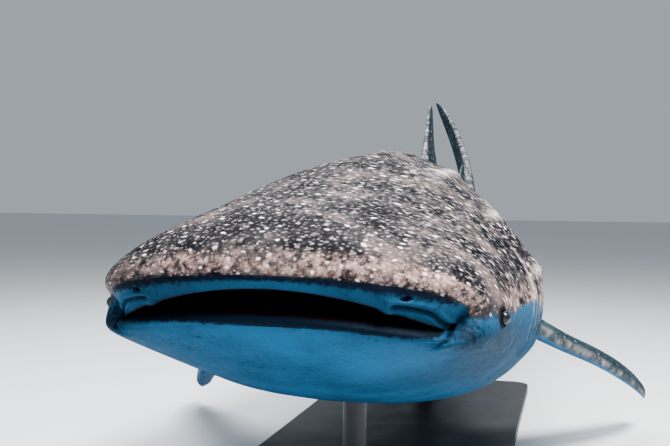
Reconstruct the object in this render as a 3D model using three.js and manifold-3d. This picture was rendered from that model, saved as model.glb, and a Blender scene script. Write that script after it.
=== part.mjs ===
// A whale shark 7.5 m long, swimming, as a still life-size model on a plain display stand.
// The animal heads along -Y with its left side at +X. Up is +Z and sizes are millimetres.
// The origin is the centre of the stand's underside.
import * as THREE from "three";
import { mergeVertices } from "three/addons/utils/BufferGeometryUtils.js";
import Module from "manifold-3d";

const wasm = await Module();
wasm.setup();

// Driving sizes. Every share below is a share of the animal's total length.
const LENGTH = 7500;
const GAP = 0.3; // clearance between touching pieces
const SNOUT_Y = -2700; // snout tip, ahead of the stand's centre
const MOUTH_Z = 1050; // level of the mouth above the floor

// Stations along the body: half width, level of the back, the belly and the widest line,
// and how square the back and the belly are (2 is an ellipse, less is a peaked back).
const BODY = [
  { at: 0.1, half: 0.101, back: 0.05, belly: -0.061, wide: -0.012, backPower: 1.78, bellyPower: 2.15 },
  { at: 0.15, half: 0.1052, back: 0.0625, belly: -0.0755, wide: -0.014, backPower: 1.66, bellyPower: 2.4 },
  { at: 0.2, half: 0.107, back: 0.069, belly: -0.0845, wide: -0.015, backPower: 1.58, bellyPower: 2.45 },
  { at: 0.27, half: 0.099, back: 0.0715, belly: -0.088, wide: -0.014, backPower: 1.52, bellyPower: 2.35 },
  { at: 0.35, half: 0.0825, back: 0.074, belly: -0.079, wide: -0.01, backPower: 1.56, bellyPower: 2.2 },
  { at: 0.45, half: 0.067, back: 0.0735, belly: -0.063, wide: -0.005, backPower: 1.68, bellyPower: 2.1 },
  { at: 0.55, half: 0.052, back: 0.0655, belly: -0.045, wide: 0, backPower: 1.8, bellyPower: 2 },
  { at: 0.65, half: 0.036, back: 0.053, belly: -0.025, wide: 0.008, backPower: 1.9, bellyPower: 2 },
  { at: 0.73, half: 0.0225, back: 0.0435, belly: -0.008, wide: 0.016, backPower: 2, bellyPower: 2 },
  { at: 0.79, half: 0.0135, back: 0.0385, belly: 0.003, wide: 0.02, backPower: 2, bellyPower: 2 },
  { at: 0.85, half: 0.0055, back: 0.036, belly: 0.016, wide: 0.026, backPower: 2, bellyPower: 2 },
];
const HEAD_END = 0.1; // where the head's front patch joins the plain stations
const BODY_END = 0.85;

// How the spine turns to the animal's left, in degrees.
const TURNS = [
  { at: 0, turn: 0 },
  { at: 0.33, turn: 0 },
  { at: 0.46, turn: -3 },
  { at: 0.56, turn: 2.5 },
  { at: 0.66, turn: 4 },
  { at: 0.76, turn: -2 },
  { at: 0.86, turn: -16 },
  { at: 1.02, turn: -36 },
];

// The jaws, each as rings round the mouth. A ring's front is its middle and its corner is the
// end of the mouth line. Levels are measured from the mouth's datum.
const JAW_POWER = 2.26; // how square the snout is in plan
const LIP = { half: 0.0748, corner: 0.0365, cornerLevel: -0.015 };
const BROW = { half: 0.0828, corner: 0.0378, cornerLevel: -0.005 };
// droop is how steadily a ring falls towards its corners, and dip how far the chin line sags beside the middle.
const UPPER = {
  lipFront: 0.0035,
  lipLevel: 0.003,
  bulge: 0.0022,
  browFront: 0,
  browLevel: 0.0098,
  droop: 0.42,
  dip: 0,
};
const LOWER = {
  lipFront: 0.0085,
  lipLevel: -0.0052,
  bulge: 0.0035,
  browFront: 0.0035,
  browLevel: -0.0125,
  droop: 0.2,
  dip: 0.008,
};
const LIP_DROOP = 0.95;
const THROAT = { at: 0.072, half: 0.046, rise: 0.009, level: -0.006 };

// Gill flaps: five slits a side, each with the flap in front standing proud of it.
const GILLS = { first: 0.146, pitch: 0.016, count: 5, proud: 0.0019, sunk: 0.0016, slit: 0.0045 };
const GILL_TOP = 56; // girth angles between which the slits run
const GILL_FOOT = 113;
const GILL_LEAN = 0.007; // how far the slits bow back at their ends

// Ridges: one along the back and three on each flank, the lowest growing into the tail's keel.
const RIDGES = [
  { angle: 0, from: 0.2, to: 0.44, height: 0.003, spread: 5 },
  { angle: 29, from: 0.17, to: 0.74, height: 0.0027, spread: 5 },
  { angle: 51, from: 0.16, to: 0.76, height: 0.0029, spread: 5 },
  { angle: 75, from: 0.15, to: 0.88, height: 0.0032, spread: 5.5 },
];
const KEEL = { angle: 84, from: 0.66, to: 0.87, height: 0.0085, spread: 10 };

// Girth angles of one side's vertices, 0 on the back and 180 on the belly.
const SIDE_ANGLES = [0, 6, 15, 23, 29, 35, 44, 51, 58, 68, 75, 82, 90, 99, 110, 122, 136, 151, 166, 180];

const radians = THREE.MathUtils.degToRad;

// A smooth curve through a table's rows, read at one station.
function read(table, key, at) {
  const last = table.length - 1;
  const q = Math.min(Math.max(at, table[0].at), table[last].at);
  let i = table.findIndex((row) => row.at > q) - 1;
  if (i < 0) i = last - 1;
  const width = (k) => table[k + 1].at - table[k].at;
  const rise = (k) => (table[k + 1][key] - table[k][key]) / width(k);
  const slope = (k) => {
    if (k === 0) return rise(0);
    if (k === last) return rise(last - 1);
    return (rise(k - 1) * width(k) + rise(k) * width(k - 1)) / (width(k - 1) + width(k));
  };
  const t = (q - table[i].at) / width(i);
  return (
    table[i][key] * (2 * t ** 3 - 3 * t ** 2 + 1) +
    table[i + 1][key] * (3 * t ** 2 - 2 * t ** 3) +
    slope(i) * width(i) * (t ** 3 - 2 * t ** 2 + t) +
    slope(i + 1) * width(i) * (t ** 3 - t ** 2)
  );
}

// The spine, walked once in small steps.
const SPINE_STEP = 0.0025;
const spine = [{ x: 0, y: 0, turn: 0 }];
for (let at = SPINE_STEP; at < 1.05; at += SPINE_STEP) {
  const before = spine[spine.length - 1];
  const turn = radians(read(TURNS, "turn", at));
  const mean = (turn + before.turn) / 2;
  spine.push({ x: before.x + Math.sin(mean) * SPINE_STEP, y: before.y + Math.cos(mean) * SPINE_STEP, turn });
}

// A point given by its station, its distance to the left and its level, on the bent animal.
function place(at, left, level) {
  const k = Math.min(Math.max(at / SPINE_STEP, 0), spine.length - 1.001);
  const i = Math.floor(k);
  const mix = (key) => spine[i][key] + (spine[i + 1][key] - spine[i][key]) * (k - i);
  const turn = mix("turn");
  const ahead = Math.min(at, 0);
  return new THREE.Vector3(
    (mix("x") + left * Math.cos(turn)) * LENGTH,
    (mix("y") + ahead - left * Math.sin(turn)) * LENGTH + SNOUT_Y,
    level * LENGTH + MOUTH_Z,
  );
}

const power = (value, exponent) => Math.sign(value) * Math.abs(value) ** exponent;
const smooth = (from, to, value) => THREE.MathUtils.smoothstep(value, from, to);

// How far the ridges and the keel stand out at a station and a girth angle.
function ridgeHeight(at, angle) {
  const side = Math.min(angle, 360 - angle);
  let height = 0;
  for (const ridge of [...RIDGES, KEEL]) {
    const length = smooth(ridge.from, ridge.from + 0.06, at) * (1 - smooth(ridge.to - 0.06, ridge.to, at));
    height += ridge.height * length * Math.exp(-(((side - ridge.angle) / ridge.spread) ** 2));
  }
  return height;
}

// The saw-tooth of the gill flaps: rising to each flap's edge, then dropping into its slit.
function gillHeight(at, angle) {
  const side = Math.min(angle, 360 - angle);
  const mask = smooth(GILL_TOP - 9, GILL_TOP + 6, side) * (1 - smooth(GILL_FOOT - 6, GILL_FOOT + 9, side));
  const along = (at - GILLS.first) / GILLS.pitch;
  const slit = Math.floor(along);
  const past = (along - slit) * GILLS.pitch;
  if (slit >= GILLS.count || along < -1) return 0;
  if (slit >= 0 && past < GILLS.slit) return mask * -GILLS.sunk * (1 - past / GILLS.slit);
  if (slit === GILLS.count - 1) return 0;
  const rise = Math.max(past - GILLS.slit, 0) / (GILLS.pitch - GILLS.slit);
  return mask * GILLS.proud * rise ** 2;
}

// A point on a plain station of the body, as station, left and level.
function sectionPoint(at, angle) {
  const c = Math.cos(radians(angle));
  const s = Math.sin(radians(angle));
  const half = read(BODY, "half", at);
  const wide = read(BODY, "wide", at);
  const reach = c > 0 ? read(BODY, "back", at) - wide : wide - read(BODY, "belly", at);
  const exponent = 2 / read(BODY, c > 0 ? "backPower" : "bellyPower", at);
  const left = half * power(s, exponent);
  const rise = reach * power(c, exponent);
  const out = new THREE.Vector2(left / half ** 2, rise / reach ** 2).normalize();
  const proud = ridgeHeight(at, angle) + gillHeight(at, angle);
  return [at, left + out.x * proud, wide + rise + out.y * proud];
}

// Slits bow: a ring's station shifts with the girth angle inside the gill region.
function bowedStation(at, angle) {
  const side = Math.min(angle, 360 - angle);
  const zone = smooth(0.115, 0.135, at) * (1 - smooth(0.225, 0.25, at));
  const middle = (GILL_TOP + GILL_FOOT) / 2;
  const bow = Math.min(((side - middle) / (GILL_FOOT - middle)) ** 2, 1);
  return at + zone * GILL_LEAN * bow;
}

const bodyPoint = (at, angle) => {
  const [, left, level] = sectionPoint(at, angle);
  return [bowedStation(at, angle), left, level];
};

// A ring round the mouth, between its front and its corners.
function jawPoint(angle, ring, front, level, droop) {
  const c = Math.abs(Math.cos(radians(angle)));
  const s = Math.sin(radians(angle));
  const left = ring.half * power(s, 2 / JAW_POWER);
  const at = front + (ring.corner - front) * (1 - c ** (2 / JAW_POWER));
  const inward = 1 - (left / ring.half) ** 2;
  return [at, left, ring.cornerLevel + (level - ring.cornerLevel) * Math.max(inward, 0) ** droop];
}

const jawOf = (angle) => (Math.cos(radians(angle)) >= 0 ? UPPER : LOWER);

// The face between the lip's edge (share 0) and the brow or chin line (share 1).
function lipPoint(angle, share) {
  const jaw = jawOf(angle);
  const edge = jawPoint(angle, LIP, jaw.lipFront, jaw.lipLevel, LIP_DROOP);
  const brow = jawPoint(angle, BROW, jaw.browFront, jaw.browLevel, jaw.droop);
  const under = Math.max(1 - (brow[1] / BROW.half) ** 2, 0) ** 0.3;
  brow[2] -= jaw.dip * 4 * under * (1 - under);
  const middle = Math.abs(Math.cos(radians(angle))) ** 0.5;
  const bulge = 4 * share * (1 - share) * jaw.bulge;
  return edge.map((value, i) => value + (brow[i] - value) * share - (i === 0 ? bulge * middle : 0));
}

// The head's front patch, from the brow or chin line (share 0) back to the first plain station (share 1).
function patchPoint(angle, share) {
  const c = Math.cos(radians(angle));
  const s = Math.sin(radians(angle));
  const brow = lipPoint(angle, 1);
  const station = bodyPoint(HEAD_END, angle);
  const beyond = bodyPoint(HEAD_END + 0.001, angle);
  const reach = Math.hypot(...station.map((value, i) => value - brow[i]));
  const start = [0.1, 0.6 * power(s, 2), c > 0 ? 0.74 * c : 0.35 * c];
  const t = share;
  return brow.map((value, i) => {
    const finish = (beyond[i] - station[i]) / 0.001;
    return (
      value * (2 * t ** 3 - 3 * t ** 2 + 1) +
      station[i] * (3 * t ** 2 - 2 * t ** 3) +
      start[i] * reach * (t ** 3 - 2 * t ** 2 + t) +
      finish * reach * (t ** 3 - t ** 2)
    );
  });
}

// The mouth's lining, from the lip's edge (share 0) to the throat (share 1).
function mouthPoint(angle, share) {
  const c = Math.cos(radians(angle));
  const s = Math.sin(radians(angle));
  const edge = lipPoint(angle, 0);
  const deep = [THROAT.at, THROAT.half * power(s, 0.8), THROAT.level + THROAT.rise * c];
  const eased = share ** 0.8;
  const level = edge[2] + (deep[2] - edge[2]) * share ** 1.4 + 0.012 * c * share * (1 - share);
  return [edge[0] + (deep[0] - edge[0]) * share, edge[1] + (deep[1] - edge[1]) * eased, level];
}

const girthAngles = [...SIDE_ANGLES, ...SIDE_ANGLES.slice(1, -1).reverse().map((angle) => 360 - angle)];
const steps = (count) => Array.from({ length: count }, (_, i) => i);
const between = (low, high, count) => steps(count).map((i) => low + ((high - low) * i) / (count - 1));

// A closed solid over rings of equal count, with a pole before the first and after the last.
function loft(rings, firstPole, lastPole) {
  const count = rings[0].length;
  const points = [firstPole, ...rings.flat(), lastPole];
  const triangles = [];
  const vertex = (ring, j) => 1 + ring * count + (j % count);
  for (const j of steps(count)) {
    triangles.push(0, vertex(0, j + 1), vertex(0, j));
    for (const i of steps(rings.length - 1)) {
      triangles.push(vertex(i, j), vertex(i, j + 1), vertex(i + 1, j));
      triangles.push(vertex(i, j + 1), vertex(i + 1, j + 1), vertex(i + 1, j));
    }
    triangles.push(points.length - 1, vertex(rings.length - 1, j), vertex(rings.length - 1, j + 1));
  }
  return new wasm.Manifold(
    new wasm.Mesh({
      numProp: 3,
      vertProperties: new Float32Array(points.flatMap((p) => p.toArray())),
      triVerts: new Uint32Array(triangles),
    }),
  );
}

// A three.js geometry as a solid.
function solidOf(geometry, matrix = new THREE.Matrix4()) {
  const bare = geometry.clone().applyMatrix4(matrix);
  bare.deleteAttribute("normal");
  bare.deleteAttribute("uv");
  const merged = mergeVertices(bare, 1e-3);
  return new wasm.Manifold(
    new wasm.Mesh({
      numProp: 3,
      vertProperties: merged.attributes.position.array,
      triVerts: new Uint32Array(merged.index.array),
    }),
  );
}

// The whole body, mouth included, as one solid.
function bodySolid() {
  const stations = [];
  for (const at of between(HEAD_END, GILLS.first - GILLS.pitch, 3)) stations.push(at);
  for (const i of steps(GILLS.count)) {
    const slit = GILLS.first + i * GILLS.pitch;
    stations.push(slit - GILLS.pitch / 2, slit - 0.0004, slit + 0.0001, slit + GILLS.slit);
  }
  for (const at of between(0.228, 0.64, 17)) stations.push(at);
  for (const at of between(0.662, BODY_END, 9)) stations.push(at);
  const ring = (point) => girthAngles.map((angle) => place(...point(angle)));
  const rings = [
    ...[1, 0.66, 0.33, 0.1].map((share) => ring((angle) => mouthPoint(angle, share))),
    ...[0, 0.35, 0.7, 1].map((share) => ring((angle) => lipPoint(angle, share))),
    ...[0.1, 0.22, 0.36, 0.52, 0.68, 0.84].map((share) => ring((angle) => patchPoint(angle, share))),
    ...stations.map((at) => ring((angle) => bodyPoint(at, angle))),
  ];
  const tail = (read(BODY, "back", BODY_END) + read(BODY, "belly", BODY_END)) / 2;
  return loft(rings, place(THROAT.at + 0.004, 0, THROAT.level), place(BODY_END + 0.008, 0, tail));
}

// Fins. Each is a blade with a round leading edge. Its span runs from 0 at the root to 1 at the tip.
// lead is how far the leading edge has swept back, chord the blade's width, and sag its drop
// towards the span's side. Roots start inside the body, and the body is cut away afterwards.
const FINS = {
  dorsal_fin_first: {
    root: [0.452, 0, 0.062],
    span: [0, -0.004, 0.069],
    across: [1, 0, 0],
    thick: 0.0105,
    outline: [
      { at: 0, lead: -0.004, chord: 0.108 },
      { at: 0.16, lead: 0.007, chord: 0.0945 },
      { at: 0.4, lead: 0.0285, chord: 0.0635 },
      { at: 0.65, lead: 0.0485, chord: 0.041 },
      { at: 0.86, lead: 0.064, chord: 0.0255 },
      { at: 0.96, lead: 0.0735, chord: 0.015 },
      { at: 1, lead: 0.081, chord: 0.004 },
    ],
  },
  dorsal_fin_second: {
    root: [0.652, 0, 0.045],
    span: [0, 0, 0.036],
    across: [1, 0, 0],
    thick: 0.0062,
    outline: [
      { at: 0, lead: 0, chord: 0.048 },
      { at: 0.25, lead: 0.006, chord: 0.041 },
      { at: 0.6, lead: 0.0185, chord: 0.0235 },
      { at: 0.88, lead: 0.0285, chord: 0.012 },
      { at: 1, lead: 0.036, chord: 0.003 },
    ],
  },
  anal_fin: {
    root: [0.668, 0, -0.013],
    span: [0, 0, -0.036],
    across: [1, 0, 0],
    thick: 0.0058,
    outline: [
      { at: 0, lead: 0, chord: 0.044 },
      { at: 0.25, lead: 0.006, chord: 0.037 },
      { at: 0.6, lead: 0.018, chord: 0.0215 },
      { at: 0.88, lead: 0.028, chord: 0.011 },
      { at: 1, lead: 0.035, chord: 0.003 },
    ],
  },
};
// Paired fins are given for the animal's left side.
const PAIRED_FINS = {
  pectoral_fin: {
    root: [0.222, 0.082, -0.0255],
    span: [0.045, 0.114, -0.0635],
    across: [1, -0.06, -0.1],
    thick: 0.0138,
    // The right fin hangs a little lower and shows more of its face to the front.
    right: { span: [0.045, 0.119, -0.0715], twist: -0.5 },
    outline: [
      { at: 0, lead: -0.006, chord: 0.083, twist: 0, sag: 0 },
      { at: 0.15, lead: 0.002, chord: 0.0765, twist: 1, sag: -0.001 },
      { at: 0.35, lead: 0.024, chord: 0.067, twist: 3, sag: -0.002 },
      { at: 0.55, lead: 0.052, chord: 0.058, twist: 6, sag: -0.002 },
      { at: 0.75, lead: 0.084, chord: 0.0455, twist: 10, sag: -0.0045 },
      { at: 0.9, lead: 0.112, chord: 0.034, twist: 12, sag: -0.008 },
      { at: 0.97, lead: 0.129, chord: 0.024, twist: 13, sag: -0.0105 },
      { at: 1, lead: 0.142, chord: 0.009, twist: 13, sag: -0.012 },
    ],
  },
  pelvic_fin: {
    root: [0.482, 0.026, -0.046],
    span: [0.006, 0.036, -0.028],
    across: [1, -0.08, 0.1],
    thick: 0.0062,
    outline: [
      { at: 0, lead: 0, chord: 0.042, twist: 0, sag: 0 },
      { at: 0.35, lead: 0.0085, chord: 0.036, twist: 0, sag: 0.0005 },
      { at: 0.7, lead: 0.02, chord: 0.026, twist: 2, sag: 0 },
      { at: 0.93, lead: 0.03, chord: 0.015, twist: 4, sag: -0.001 },
      { at: 1, lead: 0.037, chord: 0.004, twist: 5, sag: -0.0015 },
    ],
  },
};
// The tail fin's two lobes, laid out level by level: where the leading and trailing edges are.
const TAIL_LOBES = {
  upper: {
    thick: 0.0125,
    outline: [
      { level: 0.012, lead: 0.8, trail: 0.868 },
      { level: 0.034, lead: 0.8045, trail: 0.8705 },
      { level: 0.06, lead: 0.826, trail: 0.8925 },
      { level: 0.09, lead: 0.861, trail: 0.9185 },
      { level: 0.12, lead: 0.9, trail: 0.947 },
      { level: 0.146, lead: 0.9375, trail: 0.9725 },
      { level: 0.163, lead: 0.963, trail: 0.988 },
      { level: 0.173, lead: 0.981, trail: 0.9955 },
      { level: 0.1775, lead: 0.995, trail: 0.999 },
    ],
  },
  lower: {
    thick: 0.0115,
    outline: [
      { level: 0.03, lead: 0.806, trail: 0.87 },
      { level: 0.004, lead: 0.802, trail: 0.8675 },
      { level: -0.015, lead: 0.8125, trail: 0.8685 },
      { level: -0.04, lead: 0.836, trail: 0.8765 },
      { level: -0.062, lead: 0.859, trail: 0.8885 },
      { level: -0.08, lead: 0.88, trail: 0.9 },
      { level: -0.089, lead: 0.8945, trail: 0.905 },
      { level: -0.0925, lead: 0.903, trail: 0.9065 },
    ],
  },
};
const ROOT_FLARE = 0.45; // extra thickness of a blade where it leaves the body
const FLARE_SPAN = 0.13;

// Half the blade's thickness at a share of its chord: a round front, thickest a third back, thin behind.
const BLADE_EDGE = 0.05; // thickness kept at the trailing edge, as a share of the greatest
const bladeShape = (share) =>
  Math.max((2.6 * Math.sqrt(share) - 2.35 * share - 0.25 * share ** 3) * 1.36, 0) * (1 - BLADE_EDGE) + BLADE_EDGE;

// The shares of the chord at which a blade has vertices: out along one face and back along the other.
const CHORD_SHARES = [0.02, 0.09, 0.22, 0.42, 0.66, 0.87];

// One ring of a blade, from a function that gives a point at a share of the chord and an offset.
const bladeRing = (pointAt) => [
  pointAt(0, 0),
  ...CHORD_SHARES.map((share) => pointAt(share, 1)),
  pointAt(1, 0),
  ...[...CHORD_SHARES].reverse().map((share) => pointAt(share, -1)),
];

// A fin of the FINS tables as a solid. side is 1 for left and unpaired fins, and -1 for right.
function finSolid(fin, side, spans) {
  const mirrored = ([at, left, level]) => new THREE.Vector3(at, left * side, level);
  const root = mirrored(fin.root);
  const pose = side < 0 && fin.right ? fin.right : { span: fin.span, twist: 1 };
  const span = mirrored(pose.span);
  const across = mirrored(fin.across).normalize();
  const normal = new THREE.Vector3().crossVectors(across, span).normalize().multiplyScalar(side);
  const widest = fin.outline[0].chord;
  const ring = (at) => {
    const row = (key) => (key in fin.outline[0] ? read(fin.outline, key, at) : 0);
    const chord = row("chord");
    const turn = radians(row("twist")) * pose.twist * -side;
    const direction = across.clone().applyAxisAngle(span.clone().normalize(), turn);
    const face = normal.clone().applyAxisAngle(span.clone().normalize(), turn);
    const flare = 1 + ROOT_FLARE * Math.exp(-at / FLARE_SPAN);
    const thick = (fin.thick / 2) * (chord / widest) ** 0.85 * flare;
    const front = root.clone().addScaledVector(span, at).addScaledVector(across, row("lead"));
    front.addScaledVector(normal, row("sag"));
    return bladeRing((share, faceSide) => {
      const point = front.clone().addScaledVector(direction, chord * share);
      point.addScaledVector(face, faceSide * side * thick * bladeShape(share));
      return place(point.x, point.y, point.z);
    });
  };
  const rings = spans.map(ring);
  const middle = (points) => points.reduce((sum, p) => sum.add(p), new THREE.Vector3()).divideScalar(points.length);
  return outward(rings, middle(rings[0]), middle(rings[rings.length - 1]));
}

// A loft turned the right way out.
function outward(rings, firstPole, lastPole) {
  const made = loft(rings, firstPole, lastPole);
  if (made.volume() > 0) return made;
  return loft(rings.map((points) => [...points].reverse()), firstPole, lastPole);
}

// A lobe of the tail fin. Its lowest rows lie inside the tail's end.
function lobeSolid(lobe) {
  const rows = lobe.outline;
  const widest = rows[1].trail - rows[1].lead;
  const rings = rows.map(({ level, lead, trail }, i) => {
    const chord = trail - lead;
    const flare = 1 + ROOT_FLARE * Math.exp(-Math.max(i - 1, 0) / 1.2);
    const thick = (lobe.thick / 2) * Math.min(chord / widest, 1) ** 0.85 * flare;
    return bladeRing((share, faceSide) => place(lead + chord * share, faceSide * thick * bladeShape(share), level));
  });
  const middle = (points) => points.reduce((sum, p) => sum.add(p), new THREE.Vector3()).divideScalar(points.length);
  return outward(rings, middle(rings[0]), middle(rings[rings.length - 1]));
}

// Cuts across the body, square to the spine. Each takes away a thin slab.
function slabAcross(at, thickness = GAP) {
  const size = LENGTH * 0.4;
  const middle = place(at, 0, 0);
  const ahead = place(at - 0.002, 0, 0);
  const turn = Math.atan2(middle.x - ahead.x, middle.y - ahead.y);
  const matrix = new THREE.Matrix4().makeRotationZ(-turn).setPosition(middle);
  return solidOf(new THREE.BoxGeometry(size, thickness, size), matrix);
}

// The pieces of a solid once slabs are taken from it, from the snout to the tail.
function pieces(solid, slabs) {
  const cut = slabs.reduce((left, slab) => left.subtract(slab), solid);
  const parts = cut.decompose().filter((part) => part.volume() > 1e4);
  const middleY = (part) => (part.boundingBox().min[1] + part.boundingBox().max[1]) / 2;
  return parts.sort((a, b) => middleY(a) - middleY(b));
}

const largest = (solid) => solid.decompose().reduce((best, part) => (part.volume() > best.volume() ? part : best));

// A solid moved by a small vector.
const shifted = (solid, x, y, z) => solid.translate([x, y, z]);

// Eyes, with the ring of skin round each, and the spiracle behind it.
const EYE = { angle: 91.8, share: 0.48, radius: 26, proud: 4, ring: 32, ringThick: 11, ringProud: 0 };
const SPIRACLE = { angle: 85.5, share: 0.98, long: 30, wide: 10, deep: 26 };
// Nostrils sit in the upper lip's face, each with a short flap over the mouth's edge.
const NOSTRIL = { angle: 47, share: 0.6, along: 8, round: 19, deep: 22 };
const FLAP = { angle: 41, share: 0.16, along: 34, round: 23, thick: 13 };

// The surface's point and outward direction at a girth angle and a share of the front patch.
function patchFrame(point, angle, share) {
  const at = (a, b) => place(...point(a, b));
  const centre = at(angle, share);
  const round = at(angle + 1, share).sub(at(angle - 1, share)).normalize();
  const back = at(angle, share + 0.02).sub(at(angle, share - 0.02)).normalize();
  const out = new THREE.Vector3().crossVectors(round, back).normalize();
  return { centre, round, back, out };
}

// An ellipsoid set on the surface, its three half sizes along the frame's directions.
function ellipsoid(frame, along, round, deep, push, sides = 14) {
  const cross = new THREE.Vector3().crossVectors(frame.back, frame.out).normalize();
  const matrix = new THREE.Matrix4()
    .makeBasis(cross, frame.back, frame.out)
    .setPosition(frame.centre.clone().addScaledVector(frame.out, push))
    .multiply(new THREE.Matrix4().makeScale(round, along, deep));
  return solidOf(new THREE.SphereGeometry(1, sides, Math.round(sides * 0.6)), matrix);
}

// The girth angle of the same place on the other side.
const sided = (angle, side) => (side > 0 ? angle : 360 - angle);

// The head's details on one side: cut from and added to the head.
function headDetails(head, side) {
  const eye = patchFrame(patchPoint, sided(EYE.angle, side), EYE.share);
  const ball = eye.centre.clone().addScaledVector(eye.out, EYE.proud);
  const ballMatrix = new THREE.Matrix4().setPosition(ball);
  const facing = new THREE.Quaternion().setFromUnitVectors(new THREE.Vector3(0, 0, 1), eye.out);
  const ringMatrix = new THREE.Matrix4().compose(
    eye.centre.clone().addScaledVector(eye.out, EYE.ringProud),
    facing,
    new THREE.Vector3(1, 1, 1),
  );
  const ring = solidOf(new THREE.TorusGeometry(EYE.ring, EYE.ringThick, 6, 18), ringMatrix);
  const socket = solidOf(new THREE.SphereGeometry(EYE.radius + GAP * 2, 16, 12), ballMatrix);
  const eyeball = solidOf(new THREE.SphereGeometry(EYE.radius, 16, 12), ballMatrix);

  const spiracle = patchFrame(patchPoint, sided(SPIRACLE.angle, side), SPIRACLE.share);
  const nostril = patchFrame(lipPoint, sided(NOSTRIL.angle, side), NOSTRIL.share);
  const flap = patchFrame(lipPoint, sided(FLAP.angle, side), FLAP.share);

  return {
    eyeball,
    head: head
      .add(ring)
      .add(ellipsoid(flap, FLAP.along, FLAP.round, FLAP.thick, -1))
      .subtract(socket)
      .subtract(ellipsoid(spiracle, SPIRACLE.wide, SPIRACLE.long, SPIRACLE.deep, -4))
      .subtract(ellipsoid(nostril, NOSTRIL.along, NOSTRIL.round, NOSTRIL.deep, -2)),
  };
}

// Where the body is parted, as stations.
const CUTS = { head: 0.118, gills: 0.232, chest: 0.4, trunk: 0.58, tail: 0.72, stalk: 0.798 };
// The lower jaw ends at the hinge, a little behind the corners of the mouth and ahead of the eyes.
const JAW_HINGE = 0.046;

// Where the jaws part, by the distance from the middle: inside the open mouth, then along the cheek.
const PARTING = { middle: -0.0015, hinge: -0.0145 };
function partingLevel(left) {
  const inward = Math.max(1 - (left / LIP.half) ** 2, 0);
  return LIP.cornerLevel + (PARTING.middle - LIP.cornerLevel) * inward ** 0.95;
}

// The space taken up by the lower jaw: everything below that line ahead of the hinge.
function jawSpace(gap) {
  const reach = 0.12;
  const profile = (left) => {
    const hinge = JAW_HINGE - gap / LENGTH;
    const drop = -gap / LENGTH;
    return [
      [-0.02, partingLevel(left) + drop],
      [LIP.corner - 0.006, partingLevel(left) + drop],
      [hinge, PARTING.hinge + drop],
      [hinge, -0.15],
      [-0.02, -0.15],
    ].map(([at, level]) => new THREE.Vector3(left * LENGTH, SNOUT_Y + at * LENGTH, MOUTH_Z + level * LENGTH));
  };
  const inner = LIP.half * 0.999;
  const across = [-reach, ...between(-inner, inner, 19), reach];
  const middle = (left) => new THREE.Vector3(left * LENGTH, SNOUT_Y + 0.02 * LENGTH, MOUTH_Z - 0.08 * LENGTH);
  return outward(across.map(profile), middle(-reach), middle(reach));
}

// The stand: a flat base and two rods, cut to the belly.
const BASE = { width: 1300, length: 3000, thick: 50, corner: 120, middleY: 0 };
const ROD = { radius: 55, sides: 32, foot: 110, footThick: 20, ends: [-0.175, 0.105] };

function baseSolid() {
  const { width, length, corner } = BASE;
  const outline = new THREE.Shape();
  outline.moveTo(-width / 2 + corner, -length / 2);
  outline.absarc(width / 2 - corner, -length / 2 + corner, corner, -Math.PI / 2, 0);
  outline.absarc(width / 2 - corner, length / 2 - corner, corner, 0, Math.PI / 2);
  outline.absarc(-width / 2 + corner, length / 2 - corner, corner, Math.PI / 2, Math.PI);
  outline.absarc(-width / 2 + corner, -length / 2 + corner, corner, Math.PI, Math.PI * 1.5);
  const slab = new THREE.ExtrudeGeometry(outline, { depth: BASE.thick, bevelEnabled: false, curveSegments: 6 });
  return solidOf(slab, new THREE.Matrix4().setPosition(0, BASE.middleY, 0));
}

// A rod on its round foot, standing on the base and reaching up into the body before the body is cut from it.
function rodSolid(y) {
  const profile = [
    [0, 0],
    [ROD.foot, 0],
    [ROD.foot, ROD.footThick],
    [ROD.radius + 12, ROD.footThick + 8],
    [ROD.radius, ROD.footThick + 26],
    [ROD.radius, MOUTH_Z - BASE.thick],
    [0, MOUTH_Z - BASE.thick],
  ].map(([radius, height]) => new THREE.Vector2(radius, height));
  const turned = new THREE.LatheGeometry(profile, ROD.sides);
  const upright = new THREE.Matrix4().makeRotationX(Math.PI / 2).setPosition(0, y, BASE.thick + GAP);
  return solidOf(turned, upright);
}

// Everything is built here, then parted into named nodes.
const body = bodySolid();
const whole = body.add(lobeSolid(TAIL_LOBES.upper)).add(lobeSolid(TAIL_LOBES.lower));
const slabs = Object.values(CUTS).map((at) => slabAcross(at));
const [headBlock, gills, chest, trunk, tail, stalk, tailFin] = pieces(whole, slabs);

const nodes = {};
const SPANS = { pectoral_fin: between(0, 1, 15), pelvic_fin: between(0, 1, 8), first: between(0, 1, 12) };

const jaw = largest(headBlock.intersect(jawSpace(0)));
let head = largest(headBlock.subtract(jawSpace(-GAP)));
for (const [name, side] of [["left", 1], ["right", -1]]) {
  const made = headDetails(head, side);
  head = largest(made.head);
  nodes["eye_" + name] = made.eyeball;
}
nodes.head = head;
nodes.lower_jaw = jaw;
nodes.gill_region = gills;
nodes.chest = chest;
nodes.trunk = trunk;
nodes.tail_front = tail;
nodes.tail_stalk = stalk;

// The tail fin parts at the fork's level into its two lobes.
const forkLevel = MOUTH_Z + 0.022 * LENGTH;
const forkSlab = solidOf(
  new THREE.BoxGeometry(LENGTH, LENGTH, GAP),
  new THREE.Matrix4().setPosition(0, LENGTH * 0.5, forkLevel),
);
const lobes = tailFin.subtract(forkSlab).decompose().sort((a, b) => b.boundingBox().max[2] - a.boundingBox().max[2]);
[nodes.tail_fin_upper_lobe, nodes.tail_fin_lower_lobe] = lobes;

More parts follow.
